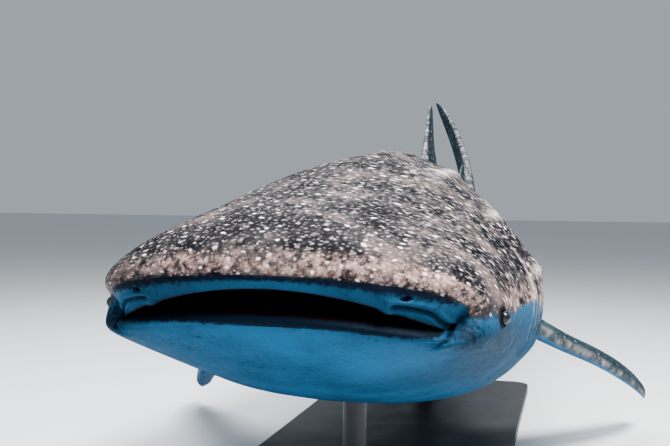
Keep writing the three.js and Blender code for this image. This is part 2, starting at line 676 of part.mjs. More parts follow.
for (const [name, fin] of Object.entries(FINS)) {
  const up = Math.sign(fin.span[2]) * GAP;
  nodes[name] = largest(finSolid(fin, 1, SPANS.first).subtract(shifted(body, 0, 0, up)));
}
for (const [name, fin] of Object.entries(PAIRED_FINS)) {
  for (const [sideName, side] of [["left", 1], ["right", -1]]) {
    const cutter = shifted(body, side * GAP, 0, -GAP);
    nodes[name + "_" + sideName] = largest(finSolid(fin, side, SPANS[name]).subtract(cutter));
  }
}

nodes.stand_base = baseSolid();
ROD.ends.forEach((share, i) => {
  const name = ["stand_rod_front", "stand_rod_rear"][i];
  nodes[name] = largest(rodSolid(share * LENGTH).subtract(shifted(body, 0, 0, -GAP)));
});

// A solid as a three.js geometry.
function geometryOf(solid) {
  const mesh = solid.getMesh();
  const points = new Float32Array(mesh.numVert * 3);
  for (const i of steps(mesh.numVert)) {
    points.set(mesh.vertProperties.subarray(i * mesh.numProp, i * mesh.numProp + 3), i * 3);
  }
  const geometry = new THREE.BufferGeometry();
  geometry.setAttribute("position", new THREE.BufferAttribute(points, 3));
  geometry.setIndex(new THREE.BufferAttribute(mesh.triVerts, 1));
  return geometry;
}

const skin = new THREE.MeshStandardMaterial({ name: "skin", color: 0x4a5260, roughness: 0.45, metalness: 0 });
const eyeFinish = new THREE.MeshStandardMaterial({ name: "eye", color: 0x14161a, roughness: 0.12, metalness: 0 });
const standFinish = new THREE.MeshStandardMaterial({ name: "stand", color: 0x2b2e33, roughness: 0.5, metalness: 0.2 });

const shark = new THREE.Group();
for (const [name, solid] of Object.entries(nodes)) {
  const finish = name.startsWith("stand_") ? standFinish : name.startsWith("eye_") ? eyeFinish : skin;
  const mesh = new THREE.Mesh(geometryOf(solid), finish);
  mesh.name = name;
  shark.add(mesh);
}

export default shark;
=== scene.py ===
"""A whale shark 7.5 m long as a still life-size model on a plain display stand.

The skin is one surface with the same forms as the solids, at a finer mesh. The shark heads along
-Y with its left side at +X, up is +Z, and every size is in metres unless a name says otherwise.
The forms of the body and fins are given as shares of the animal's length, by station from the
snout (0) to the tail, and by girth angle in degrees from the back (0) over the left side (90) and
the belly (180) to the right side (270).
"""

from __future__ import annotations

import logging
import math
from dataclasses import dataclass, field
from enum import Enum
from typing import Callable, Sequence

import bpy
import numpy as np
from mathutils import Matrix, Vector

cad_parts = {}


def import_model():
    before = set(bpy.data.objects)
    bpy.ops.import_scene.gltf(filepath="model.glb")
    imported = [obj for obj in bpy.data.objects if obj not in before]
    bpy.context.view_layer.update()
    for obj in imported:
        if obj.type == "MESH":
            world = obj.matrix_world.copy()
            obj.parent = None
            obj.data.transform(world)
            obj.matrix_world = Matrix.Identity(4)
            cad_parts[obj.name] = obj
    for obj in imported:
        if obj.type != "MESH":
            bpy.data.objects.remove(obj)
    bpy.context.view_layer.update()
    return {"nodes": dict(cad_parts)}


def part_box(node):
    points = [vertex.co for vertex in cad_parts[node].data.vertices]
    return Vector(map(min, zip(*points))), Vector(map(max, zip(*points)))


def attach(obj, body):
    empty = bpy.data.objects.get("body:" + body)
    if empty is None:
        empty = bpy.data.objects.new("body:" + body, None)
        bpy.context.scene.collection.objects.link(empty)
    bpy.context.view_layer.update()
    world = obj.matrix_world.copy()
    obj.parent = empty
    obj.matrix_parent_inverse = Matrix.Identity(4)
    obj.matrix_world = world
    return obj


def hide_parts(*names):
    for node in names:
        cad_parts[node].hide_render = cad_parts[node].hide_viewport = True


log = logging.getLogger("whale_shark")

Array = np.ndarray
Socket = bpy.types.NodeSocket
Pair = tuple[float, float]
Triple = tuple[float, float, float]

LENGTH = 7.5
SNOUT_Y = -2.7
MOUTH_Z = 1.05
HEAD_END = 0.1
BODY_END = 0.85
JAW_POWER = 2.26
RIDGE_FADE = 0.06
# The pale lines on the ridges' crests are partly a painted highlight along them.
PALE_LINE_FADE = (0.05, 0.08)
PALE_LINE_SPREAD = 2.6
PALE_LINE_BACK = 0.35
PALE_LINE_FLANK = 0.75
LIP_EDGE = -0.999
TINY = 1e-12
FAR = 9.0


class Side(Enum):
    """The two sides of the animal, as signs along X."""

    LEFT = 1
    RIGHT = -1

    def angle(self, angle: float) -> float:
        """The girth angle on this side that matches one on the left."""
        return angle if self is Side.LEFT else 360 - angle

    def name_of(self, stem: str) -> str:
        """The name of this side's piece."""
        return f"{stem}_{self.name.lower()}"


class Slot(Enum):
    """Material slot names."""

    SKIN = "skin"
    EYE = "eye"
    STAND = "stand"


def hermite(t: Array, start: Array, finish: Array, leave: Array, arrive: Array) -> Array:
    """A smooth path between two values.

    Args:
        t: The share of the way, from 0 to 1.
        start: The value at 0.
        finish: The value at 1.
        leave: The slope at 0.
        arrive: The slope at 1.

    Returns:
        The values at the shares.
    """
    return (
        start * (2 * t**3 - 3 * t**2 + 1)
        + finish * (3 * t**2 - 2 * t**3)
        + leave * (t**3 - 2 * t**2 + t)
        + arrive * (t**3 - t**2)
    )


class Profile:
    """A smooth curve through rows of numbers, read at any station."""

    def __init__(self, stations: Sequence[float], values: Sequence[float]) -> None:
        """Keeps the rows and works out the slope at each.

        Args:
            stations: The rows' stations, rising.
            values: The value at each station.
        """
        self.x = np.array(stations, float)
        self.y = np.array(values, float)
        width = np.diff(self.x)
        rise = np.diff(self.y) / width
        inner = (rise[:-1] * width[1:] + rise[1:] * width[:-1]) / (width[:-1] + width[1:])
        self.slope = np.concatenate([rise[:1], inner, rise[-1:]])

    def __call__(self, at: Array | float) -> Array:
        """Reads the curve.

        Args:
            at: One station or an array of them.

        Returns:
            The values there, held at the curve's ends.
        """
        q = np.clip(np.asarray(at, float), self.x[0], self.x[-1])
        i = np.clip(np.searchsorted(self.x, q, side="right") - 1, 0, len(self.x) - 2)
        width = self.x[i + 1] - self.x[i]
        t = (q - self.x[i]) / width
        return hermite(t, self.y[i], self.y[i + 1], self.slope[i] * width, self.slope[i + 1] * width)


def smooth(low: Array | float, high: Array | float, value: Array) -> Array:
    """A smooth step from 0 at low to 1 at high."""
    t = np.clip((np.asarray(value, float) - low) / (high - low), 0, 1)
    return t * t * (3 - 2 * t)


def falling(low: Array | float, high: Array | float, value: Array) -> Array:
    """A smooth step from 1 at low to 0 at high."""
    return 1 - smooth(low, high, value)


def window(value: Array, rise: Pair, fall: Pair) -> Array:
    """A smooth rise from 0 to 1 over one range of the value, and a fall back to 0 over another."""
    return smooth(*rise, value) * falling(*fall, value)


def bell(value: Array, centre: float, spread: float) -> Array:
    """A soft hump of height 1 round a centre."""
    return np.exp(-(((value - centre) / spread) ** 2))


def arch(share: Array) -> Array:
    """A round hump of height 1 between the shares 0 and 1."""
    return 4 * share * (1 - share)


def power(value: Array, exponent: Array | float) -> Array:
    """A power that keeps the sign of its base."""
    return np.sign(value) * np.abs(value) ** exponent


def cos_sin(angle: Array) -> tuple[Array, Array]:
    """The cosine and sine of an angle in degrees."""
    return np.cos(np.radians(angle)), np.sin(np.radians(angle))


def spread_out(*values: Array | float) -> list[Array]:
    """Numbers and arrays as arrays of one shape."""
    return np.broadcast_arrays(*(np.asarray(v, float) for v in values))


class Spine:
    """The animal's bent midline, which turns its plain stations into places."""

    STEP = 0.0025
    STOP = 1.05
    TURNS = Profile([0, 0.33, 0.46, 0.56, 0.66, 0.76, 0.86, 1.02], [0, 0, -3, 2.5, 4, -2, -16, -36])

    def __init__(self) -> None:
        """Walks the spine once in small steps."""
        self.at = np.arange(0, self.STOP, self.STEP)
        self.turn = np.radians(self.TURNS(self.at))
        mean = (self.turn[1:] + self.turn[:-1]) / 2
        self.x = np.concatenate([[0], np.cumsum(np.sin(mean) * self.STEP)])
        self.y = np.concatenate([[0], np.cumsum(np.cos(mean) * self.STEP)])

    def place(self, at: Array, left: Array, level: Array) -> Array:
        """Puts stations, distances to the left and levels onto the bent animal.

        Args:
            at: Stations, as shares of the length.
            left: Distances to the animal's left, as shares of the length.
            level: Levels above the mouth's datum, as shares of the length.

        Returns:
            An array of points whose last axis is X, Y, Z in metres.
        """
        at, left, level = spread_out(at, left, level)
        k = np.clip(at, 0, self.at[-1])
        x, y, turn = (np.interp(k, self.at, v) for v in (self.x, self.y, self.turn))
        ahead = np.minimum(at, 0)
        return np.stack(
            [
                (x + left * np.cos(turn)) * LENGTH,
                (y + ahead - left * np.sin(turn)) * LENGTH + SNOUT_Y,
                level * LENGTH + MOUTH_Z,
            ],
            axis=-1,
        )


@dataclass(frozen=True)
class Ridge:
    """A ridge of skin along the body, by girth angle and stations."""

    angle: float
    start: float
    stop: float
    height: float
    spread: float

    def rise(self, at: Array, side: Array) -> Array:
        """How far the ridge stands out at stations and girth angles."""
        along = window(at, (self.start, self.start + RIDGE_FADE), (self.stop - RIDGE_FADE, self.stop))
        return self.height * along * bell(side, self.angle, self.spread)

    def pale_line(self, at: Array, side: Array) -> Array:
        """The pale line on the ridge's crest, partly the skin's own marking and partly a painted highlight
        along the crest, which is weaker on the back's midline.

        Args:
            at: Stations.
            side: Girth angles from 0 on the back to 180 on the belly.

        Returns:
            A mask.
        """
        rise, fall = PALE_LINE_FADE
        along = window(at, (self.start, self.start + rise), (self.stop - fall, self.stop))
        strength = PALE_LINE_FLANK if self.angle else PALE_LINE_BACK
        return strength * along * bell(side, self.angle, PALE_LINE_SPREAD)


@dataclass(frozen=True)
class Gills:
    """The gill flaps: a row of slits by station, between two girth angles.

    The fades say how far outside and inside those angles the flaps die away.
    """

    first: float = 0.146
    pitch: float = 0.016
    count: int = 5
    proud: float = 0.0019
    sunk: float = 0.0016
    slit: float = 0.0045
    top: float = 56
    foot: float = 113
    fade_out: float = 9
    fade_in: float = 6
    lean: float = 0.007
    lean_rise: Pair = (0.115, 0.135)
    lean_fall: Pair = (0.225, 0.25)
    ring_offsets: tuple[float, ...] = (
        -0.0125, -0.0095, -0.0065, -0.0036, -0.0018, -0.0007, -0.0002, 0.0001, 0.0012, 0.0026,
    )
    gap_behind: float = 0.0115
    rings_ahead: int = 7
    mark_fade: float = 12
    mark_over: float = 1
    # The painted shade in each slit: how wide it is and how strong.
    dark_width: float = 0.0016
    dark_share: float = 0.6
    edge_spread: float = 0.0022

    def height(self, at: Array, side: Array) -> Array:
        """The saw-tooth of the flaps.

        Args:
            at: Stations.
            side: Girth angles from 0 on the back to 180 on the belly.

        Returns:
            How far the skin stands out, below 0 where it sinks into a slit.
        """
        fade_top = (self.top - self.fade_out, self.top + self.fade_in)
        fade_foot = (self.foot - self.fade_in, self.foot + self.fade_out)
        along = (at - self.first) / self.pitch
        slit = np.floor(along)
        past = (along - slit) * self.pitch
        sunk = -self.sunk * (1 - past / self.slit)
        rise = np.clip(past - self.slit, 0, None) / (self.pitch - self.slit)
        height = np.where((slit >= 0) & (past < self.slit), sunk, self.proud * rise**2)
        height = np.where((slit == self.count - 1) & (past >= self.slit), 0, height)
        height = np.where((slit >= self.count) | (along < -1), 0, height)
        return height * window(side, fade_top, fade_foot)

    def shift(self, at: Array, side: Array) -> Array:
        """How far the slits bow back at stations and girth angles."""
        middle = (self.top + self.foot) / 2
        bow = np.minimum(((side - middle) / (self.foot - middle)) ** 2, 1)
        return window(at, self.lean_rise, self.lean_fall) * self.lean * bow

    def marks(self, at: Array, side: Array) -> tuple[Array, Array]:
        """Where shade is painted in the slits and where the flaps' edges are pale.

        Args:
            at: Stations.
            side: Girth angles from 0 on the back to 180 on the belly.

        Returns:
            A mask of the painted shade in the slits and a mask of the flaps' edges.
        """
        fade_foot = (self.foot - self.mark_fade, self.foot + self.mark_over)
        reach = window(side, (self.top, self.top + self.mark_fade), fade_foot)
        along = (at - self.first) / self.pitch
        nearest = np.clip(np.round(along), 0, self.count - 1)
        past = (along - nearest) * self.pitch
        slit = self.dark_share * ((past >= -0.0001) & (past < self.dark_width))
        return slit * reach, bell(past, 0, self.edge_spread) * (past < 0) * reach

    def stations(self, rings: int) -> Array:
        """Stations behind the front patch, with several to each gill flap.

        Args:
            rings: How many of them lie behind the flaps.

        Returns:
            The stations, rising.
        """
        slits = self.first + np.arange(self.count) * self.pitch
        last = self.first + self.count * self.pitch - self.gap_behind
        parts = [np.linspace(HEAD_END, self.first - self.pitch, self.rings_ahead)[1:]]
        parts += [slit + np.array(self.ring_offsets) for slit in slits]
        parts.append(np.linspace(last, BODY_END, rings))
        return np.sort(np.concatenate(parts))


@dataclass(frozen=True)
class JawRing:
    """A ring round the mouth: its half width, and where its corners lie."""

    half: float
    corner: float
    corner_level: float

    def points(self, angle: Array, front: Array, level: Array, droop: Array) -> Array:
        """Points on the ring.

        Args:
            angle: Girth angles.
            front: The ring's station at the middle of the snout.
            level: Its level there.
            droop: How fast it falls to the corner.

        Returns:
            Stations, distances to the left and levels.
        """
        c, s = cos_sin(angle)
        left = self.half * power(s, 2 / JAW_POWER)
        at = front + (self.corner - front) * (1 - np.abs(c) ** (2 / JAW_POWER))
        inward = np.maximum(1 - (left / self.half) ** 2, 0)
        return np.stack([at, left, self.corner_level + (level - self.corner_level) * inward**droop])


@dataclass(frozen=True)
class Jaw:
    """One jaw's lip and its brow or chin line at the middle of the snout.

    The droops say how fast the two lines fall to the corner of the mouth, and the dip how far the
    chin line runs under that corner.
    """

    lip_front: float
    lip_level: float
    bulge: float
    brow_front: float
    brow_level: float
    droop: float
    brow_droop: float
    dip: float


def body_curve(*values: float) -> Profile:
    """A curve with one value at each of the body's stations."""
    return Profile((0.1, 0.15, 0.2, 0.27, 0.35, 0.45, 0.55, 0.65, 0.73, 0.79, 0.85), values)


@dataclass(frozen=True)
class BodyForm:
    """The forms of the head and trunk, as shares of the animal's length.

    The patch fields say which way the head's front patch leaves the brow or chin line.
    """

    spine: Spine = field(default_factory=Spine)
    half: Profile = body_curve(
        0.101, 0.1052, 0.107, 0.099, 0.0825, 0.067, 0.052, 0.036, 0.0225, 0.0135, 0.0055
    )
    back: Profile = body_curve(
        0.05, 0.0625, 0.069, 0.0715, 0.074, 0.0735, 0.0655, 0.053, 0.0435, 0.0385, 0.036
    )
    belly: Profile = body_curve(
        -0.061, -0.0755, -0.0845, -0.088, -0.079, -0.063, -0.045, -0.025, -0.008, 0.003, 0.016
    )
    wide: Profile = body_curve(
        -0.012, -0.014, -0.015, -0.014, -0.01, -0.005, 0, 0.008, 0.016, 0.02, 0.026
    )
    back_power: Profile = body_curve(1.78, 1.66, 1.58, 1.52, 1.56, 1.68, 1.8, 1.9, 2, 2, 2)
    belly_power: Profile = body_curve(2.15, 2.4, 2.45, 2.35, 2.2, 2.1, 2, 2, 2, 2, 2)
    lip: JawRing = JawRing(0.0748, 0.0365, -0.015)
    brow: JawRing = JawRing(0.0828, 0.0378, -0.005)
    upper: Jaw = Jaw(0.0035, 0.003, 0.0022, 0, 0.0098, 0.95, 0.42, 0)
    lower: Jaw = Jaw(0.0085, -0.0052, 0.0035, 0.0035, -0.0125, 0.95, 0.2, 0.008)
    patch_back: float = 0.1
    patch_out: float = 0.6
    patch_up: float = 0.74
    patch_down: float = 0.35
    throat_at: float = 0.072
    throat_half: float = 0.046
    throat_rise: float = 0.009
    throat_level: float = -0.006
    throat_powers: Triple = (0.8, 0.8, 1.4)
    mouth_arch: float = 0.003
    dip_power: float = 0.3
    bulge_power: float = 0.5
    gills: Gills = Gills()
    ridges: tuple[Ridge, ...] = (
        Ridge(0, 0.2, 0.44, 0.003, 5),
        Ridge(29, 0.17, 0.74, 0.0027, 5),
        Ridge(51, 0.16, 0.76, 0.0029, 5),
        Ridge(75, 0.15, 0.88, 0.0032, 5.5),
        Ridge(84, 0.66, 0.87, 0.0085, 10),
    )
    pale_ridges: int = 4

    def body_point(self, at: Array, angle: Array) -> Array:
        """Points on the body behind the head's front patch.

        Args:
            at: Stations.
            angle: Girth angles.

        Returns:
            Stations, distances to the left and levels.
        """
        side = np.minimum(angle, 360 - angle)
        c, s = cos_sin(angle)
        half, wide = self.half(at), self.wide(at)
        reach = np.where(c > 0, self.back(at) - wide, wide - self.belly(at))
        exponent = 2 / np.where(c > 0, self.back_power(at), self.belly_power(at))
        left, rise = half * power(s, exponent), reach * power(c, exponent)
        out = np.stack([left / half**2, rise / reach**2])
        out = out / np.maximum(np.hypot(*out), TINY)
        proud = sum(ridge.rise(at, side) for ridge in self.ridges) + self.gills.height(at, side)
        level = wide + rise + out[1] * proud
        return np.stack(spread_out(at + self.gills.shift(at, side), left + out[0] * proud, level))

    def lip_point(self, angle: Array, share: Array) -> Array:
        """Points on the lips' faces.

        Args:
            angle: Girth angles.
            share: The way from the lip's edge (0) to the brow or chin line (1).

        Returns:
            Stations, distances to the left and levels.
        """
        angle, share = spread_out(angle, share)
        c, _ = cos_sin(angle)

        def pick(name: str) -> Array:
            """A size of the upper jaw above the mouth and of the lower jaw below it."""
            return np.where(c >= 0, getattr(self.upper, name), getattr(self.lower, name))

        edge = self.lip.points(angle, pick("lip_front"), pick("lip_level"), pick("droop"))
        brow = self.brow.points(angle, pick("brow_front"), pick("brow_level"), pick("brow_droop"))
        under = np.maximum(1 - (brow[1] / self.brow.half) ** 2, 0) ** self.dip_power
        brow[2] -= pick("dip") * arch(under)
        point = edge + (brow - edge) * share
        point[0] -= arch(share) * pick("bulge") * np.abs(c) ** self.bulge_power
        return point

    def patch_point(self, angle: Array, share: Array) -> Array:
        """Points on the head's front patch.

        Args:
            angle: Girth angles.
            share: The way from the brow or chin line (0) back to the first plain station (1).

        Returns:
            Stations, distances to the left and levels.
        """
        angle, share = spread_out(angle, share)
        c, s = cos_sin(angle)
        step = 0.001
        brow = self.lip_point(angle, np.ones_like(share))
        station = self.body_point(np.full_like(share, HEAD_END), angle)
        beyond = self.body_point(np.full_like(share, HEAD_END + step), angle)
        reach = np.sqrt(((station - brow) ** 2).sum(0))
        upward = np.where(c > 0, self.patch_up, self.patch_down) * c
        start = np.stack([np.full_like(c, self.patch_back), self.patch_out * power(s, 2), upward])
        return hermite(share, brow, station, start * reach, (beyond - station) / step * reach)

    def mouth_point(self, angle: Array, share: Array) -> Array:
        """Points of the mouth's lining.

        Args:
            angle: Girth angles.
            share: The way from the lip's edge (0) to the throat (1).

        Returns:
            Stations, distances to the left and levels.
        """
        angle, share = spread_out(angle, share)
        c, s = cos_sin(angle)
        edge = self.lip_point(angle, np.zeros_like(share))
        square, aside, upward = self.throat_powers
        deep_left = self.throat_half * power(s, square)
        deep_level = self.throat_level + self.throat_rise * c
        return np.stack(
            [
                edge[0] + (self.throat_at - edge[0]) * share,
                edge[1] + (deep_left - edge[1]) * share**aside,
                edge[2] + (deep_level - edge[2]) * share**upward + self.mouth_arch * c * arch(share),
            ]
        )


@dataclass(frozen=True)
class Feature:
    """A place on the head, by girth angle and share of its patch or lip."""

    angle: float
    share: float


@dataclass(frozen=True)
class HeadFeatures:
    """Eyes, spiracles, nostrils and the folds at the corners of the mouth."""

    eye: Feature = Feature(91.8, 0.48)
    eye_radius: float = 0.023
    eye_proud: float = 0.007
    lid_rise: float = 0.006
    lid_radius: float = 0.031
    lid_spread: float = 0.007
    lid_edge: Pair = (0.015, 0.024)
    mound_rise: float = 0.005
    mound_spread: float = 0.06
    socket_depth: float = 0.02
    socket_edge: Pair = (0.016, 0.025)
    spiracle: Pair = (0.1135, 86.4)
    spiracle_half: Pair = (0.034, 0.02)
    spiracle_depth: float = 0.014
    spiracle_edge: Pair = (0.3, 1.2)
    spiracle_near: float = 0.12
    nostril: Feature = Feature(47, 0.6)
    nostril_half: Pair = (0.017, 0.0085)
    nostril_slant: float = 0.4
    nostril_depth: float = 0.016
    nostril_edge: Pair = (0.2, 1.3)
    nostril_near: float = 0.09
    flap: Feature = Feature(41, 0.16)
    flap_half: Pair = (0.023, 0.034)
    flap_rise: float = 0.013
    flap_near: float = 0.12
    fold_depth: float = 0.01
    fold_width: float = 0.006
    fold_lip: Triple = (0.006, 0.016, 0.008)
    fold_zone: Pair = (0.3, 0.62)
    corner: Pair = (89, 17)
    corner_reach: float = 0.06
    corner_rounds: int = 90
    corner_step: float = 0.5
    relief_end: float = 1.13


def closeness(*humps: Triple) -> Callable[[Array], Array]:
    """A density of 1 with humps, each given as its height, centre and spread."""
    return lambda value: 1 + sum(height * bell(value, centre, spread) for height, centre, spread in humps)


def even_by(density: Callable[[Array], Array], low: float, high: float, count: int) -> Array:
    """Samples a range with spacing that follows a density.

    Args:
        density: How closely samples lie, by place.
        low: The first sample.
        high: The last sample.
        count: How many samples there are.

    Returns:
        The samples, rising.
    """
    fine = np.linspace(low, high, 4001)
    weight = np.concatenate([[0], np.cumsum((density(fine[1:]) + density(fine[:-1])) / 2)])
    return np.interp(np.linspace(0, weight[-1], count), weight, fine)


def grid_normals(points: Array) -> Array:
    """Outward directions over a grid of rings that run round from back to left to belly.

    Args:
        points: The places, by ring and column.

    Returns:
        A direction of length 1 for each vertex.
    """
    along = np.gradient(points, axis=0)
    round_ = np.roll(points, -1, axis=1) - np.roll(points, 1, axis=1)
    normal = np.cross(round_, along)
    return normal / np.maximum(np.linalg.norm(normal, axis=-1, keepdims=True), TINY)


class SkinGrid:
    """The skin's grid of rings, and where each vertex lies on the plain animal."""

    def __init__(self, points: Array, angles: Array, marks: Array, stations: Array) -> None:
        """Spreads the columns' angles and the rings' marks over the grid.

        Args:
            points: The places, by ring and column.
            angles: Each column's girth angle.
            marks: Each ring's mark, as SkinMesh.rings gives it.
            stations: The plain stations, by ring and column.
        """
        self.points = points
        self.stations = stations
        self.girth = np.broadcast_to(angles, stations.shape)
        self.side = np.minimum(self.girth, 360 - self.girth)
        self.mark = np.broadcast_to(marks[:, None], stations.shape)
        self.share = self.mark + 1
        self.brow_ring = int(np.argmin(np.abs(marks)))
        self.upper = self.side < 90.001
        self.on_lip = (self.mark > -1.0001) & (self.mark < 0)
        self.outside = self.mark > -1.001
        self.folds: dict[Side, Array] = {}

    def from_brow(self) -> Array:
        """Each vertex's distance to the brow or chin line in its own column."""
        return np.linalg.norm(self.points - self.points[self.brow_ring], axis=-1)

    def distance(self, place: Array) -> Array:
        """Each vertex's distance to a place."""
        return np.linalg.norm(self.points - place, axis=-1)


@dataclass
class SkinMesh:
    """The whole skin as a grid of rings, with the head's details in relief."""

    form: BodyForm
    features: HeadFeatures = field(default_factory=HeadFeatures)
    side_count: int = 151
    mouth_crowding: float = 1.6
    fold_samples: int = 90
    mouth_rings: int = 15
    lip_rings: int = 27
    patch_rings: int = 112
    trunk_rings: int = 92
    patch_humps: tuple[Triple, ...] = ((2.2, 0.48, 0.06), (2, 0, 0.05), (1.2, 0.96, 0.05))
    girth_humps: tuple[Triple, ...] = ((3.2, 90, 9), (1.6, 44, 8), (0.8, 70, 16))
    fold_on_lip: tuple[Pair, ...] = (
        (43, 0.27), (51, 0.35), (59, 0.38), (64, 0.345), (70, 0.24), (79, 0.18), (90, 0.2), (101, 0.33),
        (110, 0.7),
    )
    fold_on_patch: tuple[Pair, ...] = ((116, 0.01), (123, 0.08), (129, 0.16))

    def angles(self) -> Array:
        """Girth angles right round, with more of them at the eyes, nostrils and ridges."""
        ridges = tuple((0.6, ridge.angle, 5) for ridge in self.form.ridges)
        side = even_by(closeness(*self.girth_humps, *ridges), 0, 180, self.side_count)
        return np.concatenate([side, 360 - side[-2:0:-1]])

    def rings(self, angles: Array) -> tuple[Array, Array]:
        """All rings from the throat to the tail.

        Args:
            angles: The columns' girth angles.

        Returns:
            The stations, lefts and levels by ring and column, and each ring's mark: -3 at the throat
            to -2 at the lips' edge, -1 to 0 on the lips, 0 to 1 on the head's front patch, then 1
            plus the station.
        """
        form = self.form
        mouth = np.linspace(1, 0, self.mouth_rings)[:-1] ** self.mouth_crowding
        lips = np.linspace(0, 1, self.lip_rings)
        patch = even_by(closeness(*self.patch_humps), 0, 1, self.patch_rings)[1:]
        trunk = form.gills.stations(self.trunk_rings)
        rings = [form.mouth_point(angles, share) for share in mouth]
        rings += [form.lip_point(angles, share) for share in lips]
        rings += [form.patch_point(angles, share) for share in patch]
        rings += [form.body_point(np.full_like(angles, at), angles) for at in trunk]
        return np.stack(rings, axis=1), np.concatenate([-2 - mouth, -1 - lips * LIP_EDGE, patch, 1 + trunk])

    def build(self) -> SkinGrid:
        """Places the grid, rounds the mouth's corners and adds the head's details.

        Returns:
            The finished grid.
        """
        angles = self.angles()
        plain, marks = self.rings(angles)
        grid = SkinGrid(self.form.spine.place(*plain), angles, marks, plain[0])
        self.soften_corners(grid)
        grid.points = grid.points + grid_normals(grid.points) * self.relief(grid)[..., None]
        return grid

    def soften_corners(self, grid: SkinGrid) -> None:
        """Rounds the ridge between the lip's face and the cheek at both corners of the mouth.

        Args:
            grid: The skin's grid, whose places are changed.
        """
        f = self.features
        near = bell(grid.from_brow(), 0, f.corner_reach) * bell(grid.side, *f.corner)
        near = (near * (grid.mark > LIP_EDGE))[..., None]
        for _ in range(f.corner_rounds):
            middle = (np.roll(grid.points, 1, axis=0) + np.roll(grid.points, -1, axis=0)) / 2
            grid.points = grid.points + (middle - grid.points) * f.corner_step * near

    def relief(self, grid: SkinGrid) -> Array:
        """How far the head's details stand out of the plain surface or sink into it.

        Args:
            grid: The skin's grid, which also gets each vertex's distance to the folds.

        Returns:
            A height for each vertex.
        """
        f = self.features
        relief = np.zeros(grid.stations.shape)
        for side in Side:
            d = grid.distance(self.on_patch(f.eye, side))
            lid = f.lid_rise * bell(d, f.lid_radius, f.lid_spread) + f.mound_rise * bell(d, 0, f.mound_spread)
            relief += lid * smooth(*f.lid_edge, d) - f.socket_depth * falling(*f.socket_edge, d)
            relief -= f.spiracle_depth * falling(*f.spiracle_edge, self.in_spiracle(grid, side))
            relief -= f.nostril_depth * falling(*f.nostril_edge, self.in_nostril(grid, side))
            relief += self.flap_relief(grid, side)
            grid.folds[side] = self.fold_distance(grid, side)
            relief -= f.fold_depth * bell(grid.folds[side], 0, f.fold_width)
            relief += f.fold_lip[0] * bell(grid.folds[side], *f.fold_lip[1:])
        return relief * grid.outside * (grid.mark < f.relief_end)

    def in_spiracle(self, grid: SkinGrid, side: Side) -> Array:
        """How far vertices lie from a spiracle's middle.

        Args:
            grid: The skin's grid.
            side: Which spiracle.

        Returns:
            A number for each vertex that is 1 at the spiracle's edge.
        """
        f = self.features
        at, angle = f.spiracle
        long, high = f.spiracle_half
        hole = self.form.spine.place(*self.form.body_point(at, side.angle(angle)))
        _, back, rise = np.moveaxis(grid.points - hole, -1, 0)
        inside = ((back + rise) / long) ** 2 + (rise / high) ** 2
        return np.where(grid.distance(hole) < f.spiracle_near, inside, FAR)

    def in_nostril(self, grid: SkinGrid, side: Side) -> Array:
        """How far vertices lie from a nostril's middle.

        Args:
            grid: The skin's grid.
            side: Which nostril.

        Returns:
            A number for each vertex that is 1 at the nostril's edge.
        """
        f = self.features
        wide, high = f.nostril_half
        hole = self.on_lip(f.nostril, side)
        across, _, up = np.moveaxis(grid.points - hole, -1, 0)
        inside = ((across * side.value - up * f.nostril_slant) / wide) ** 2 + (up / high) ** 2
        return np.where(grid.distance(hole) < f.nostril_near, inside, FAR)

    def flap_relief(self, grid: SkinGrid, side: Side) -> Array:
        """The short flap of a nostril over the mouth's edge.

        Args:
            grid: The skin's grid.
            side: Which nostril's.

        Returns:
            A height for each vertex.
        """
        f = self.features
        wide, high = f.flap_half
        tip = self.on_lip(f.flap, side)
        across, _, up = np.moveaxis(grid.points - tip, -1, 0)
        return f.flap_rise * bell(across, 0, wide) * bell(up, 0, high) * (grid.distance(tip) < f.flap_near)

    def fold_line(self, side: Side) -> Array:
        """The fold from the nostril round the corner of the mouth to the lower jaw.

        Args:
            side: Which corner of the mouth.

        Returns:
            Places along the fold, one row each.
        """
        places = [self.on_lip(Feature(*mark), side) for mark in self.fold_on_lip]
        places += [self.on_patch(Feature(*mark), side) for mark in self.fold_on_patch]
        steps = range(len(places))
        along = np.linspace(0, steps[-1], self.fold_samples)
        return np.stack([Profile(steps, way)(along) for way in np.transpose(places)], axis=1)

    def fold_distance(self, grid: SkinGrid, side: Side) -> Array:
        """The distance from each vertex to a fold, or 1 away from the head.

        Args:
            grid: The skin's grid.
            side: Which fold.

        Returns:
            A distance for each vertex.
        """
        aside, back = self.features.fold_zone
        near = (grid.points[..., 0] * side.value > aside) & (grid.points[..., 1] < SNOUT_Y + back)
        out = np.ones(grid.stations.shape)
        ways = grid.points[near][:, None] - self.fold_line(side)
        out[near] = np.linalg.norm(ways, axis=2).min(axis=1)
        return out

    def on_patch(self, feature: Feature, side: Side) -> Array:
        """A feature's place on the head's front patch."""
        return self.form.spine.place(*self.form.patch_point(side.angle(feature.angle), feature.share))

    def on_lip(self, feature: Feature, side: Side) -> Array:
        """A feature's place on the lip's face."""
        return self.form.spine.place(*self.form.lip_point(side.angle(feature.angle), feature.share))


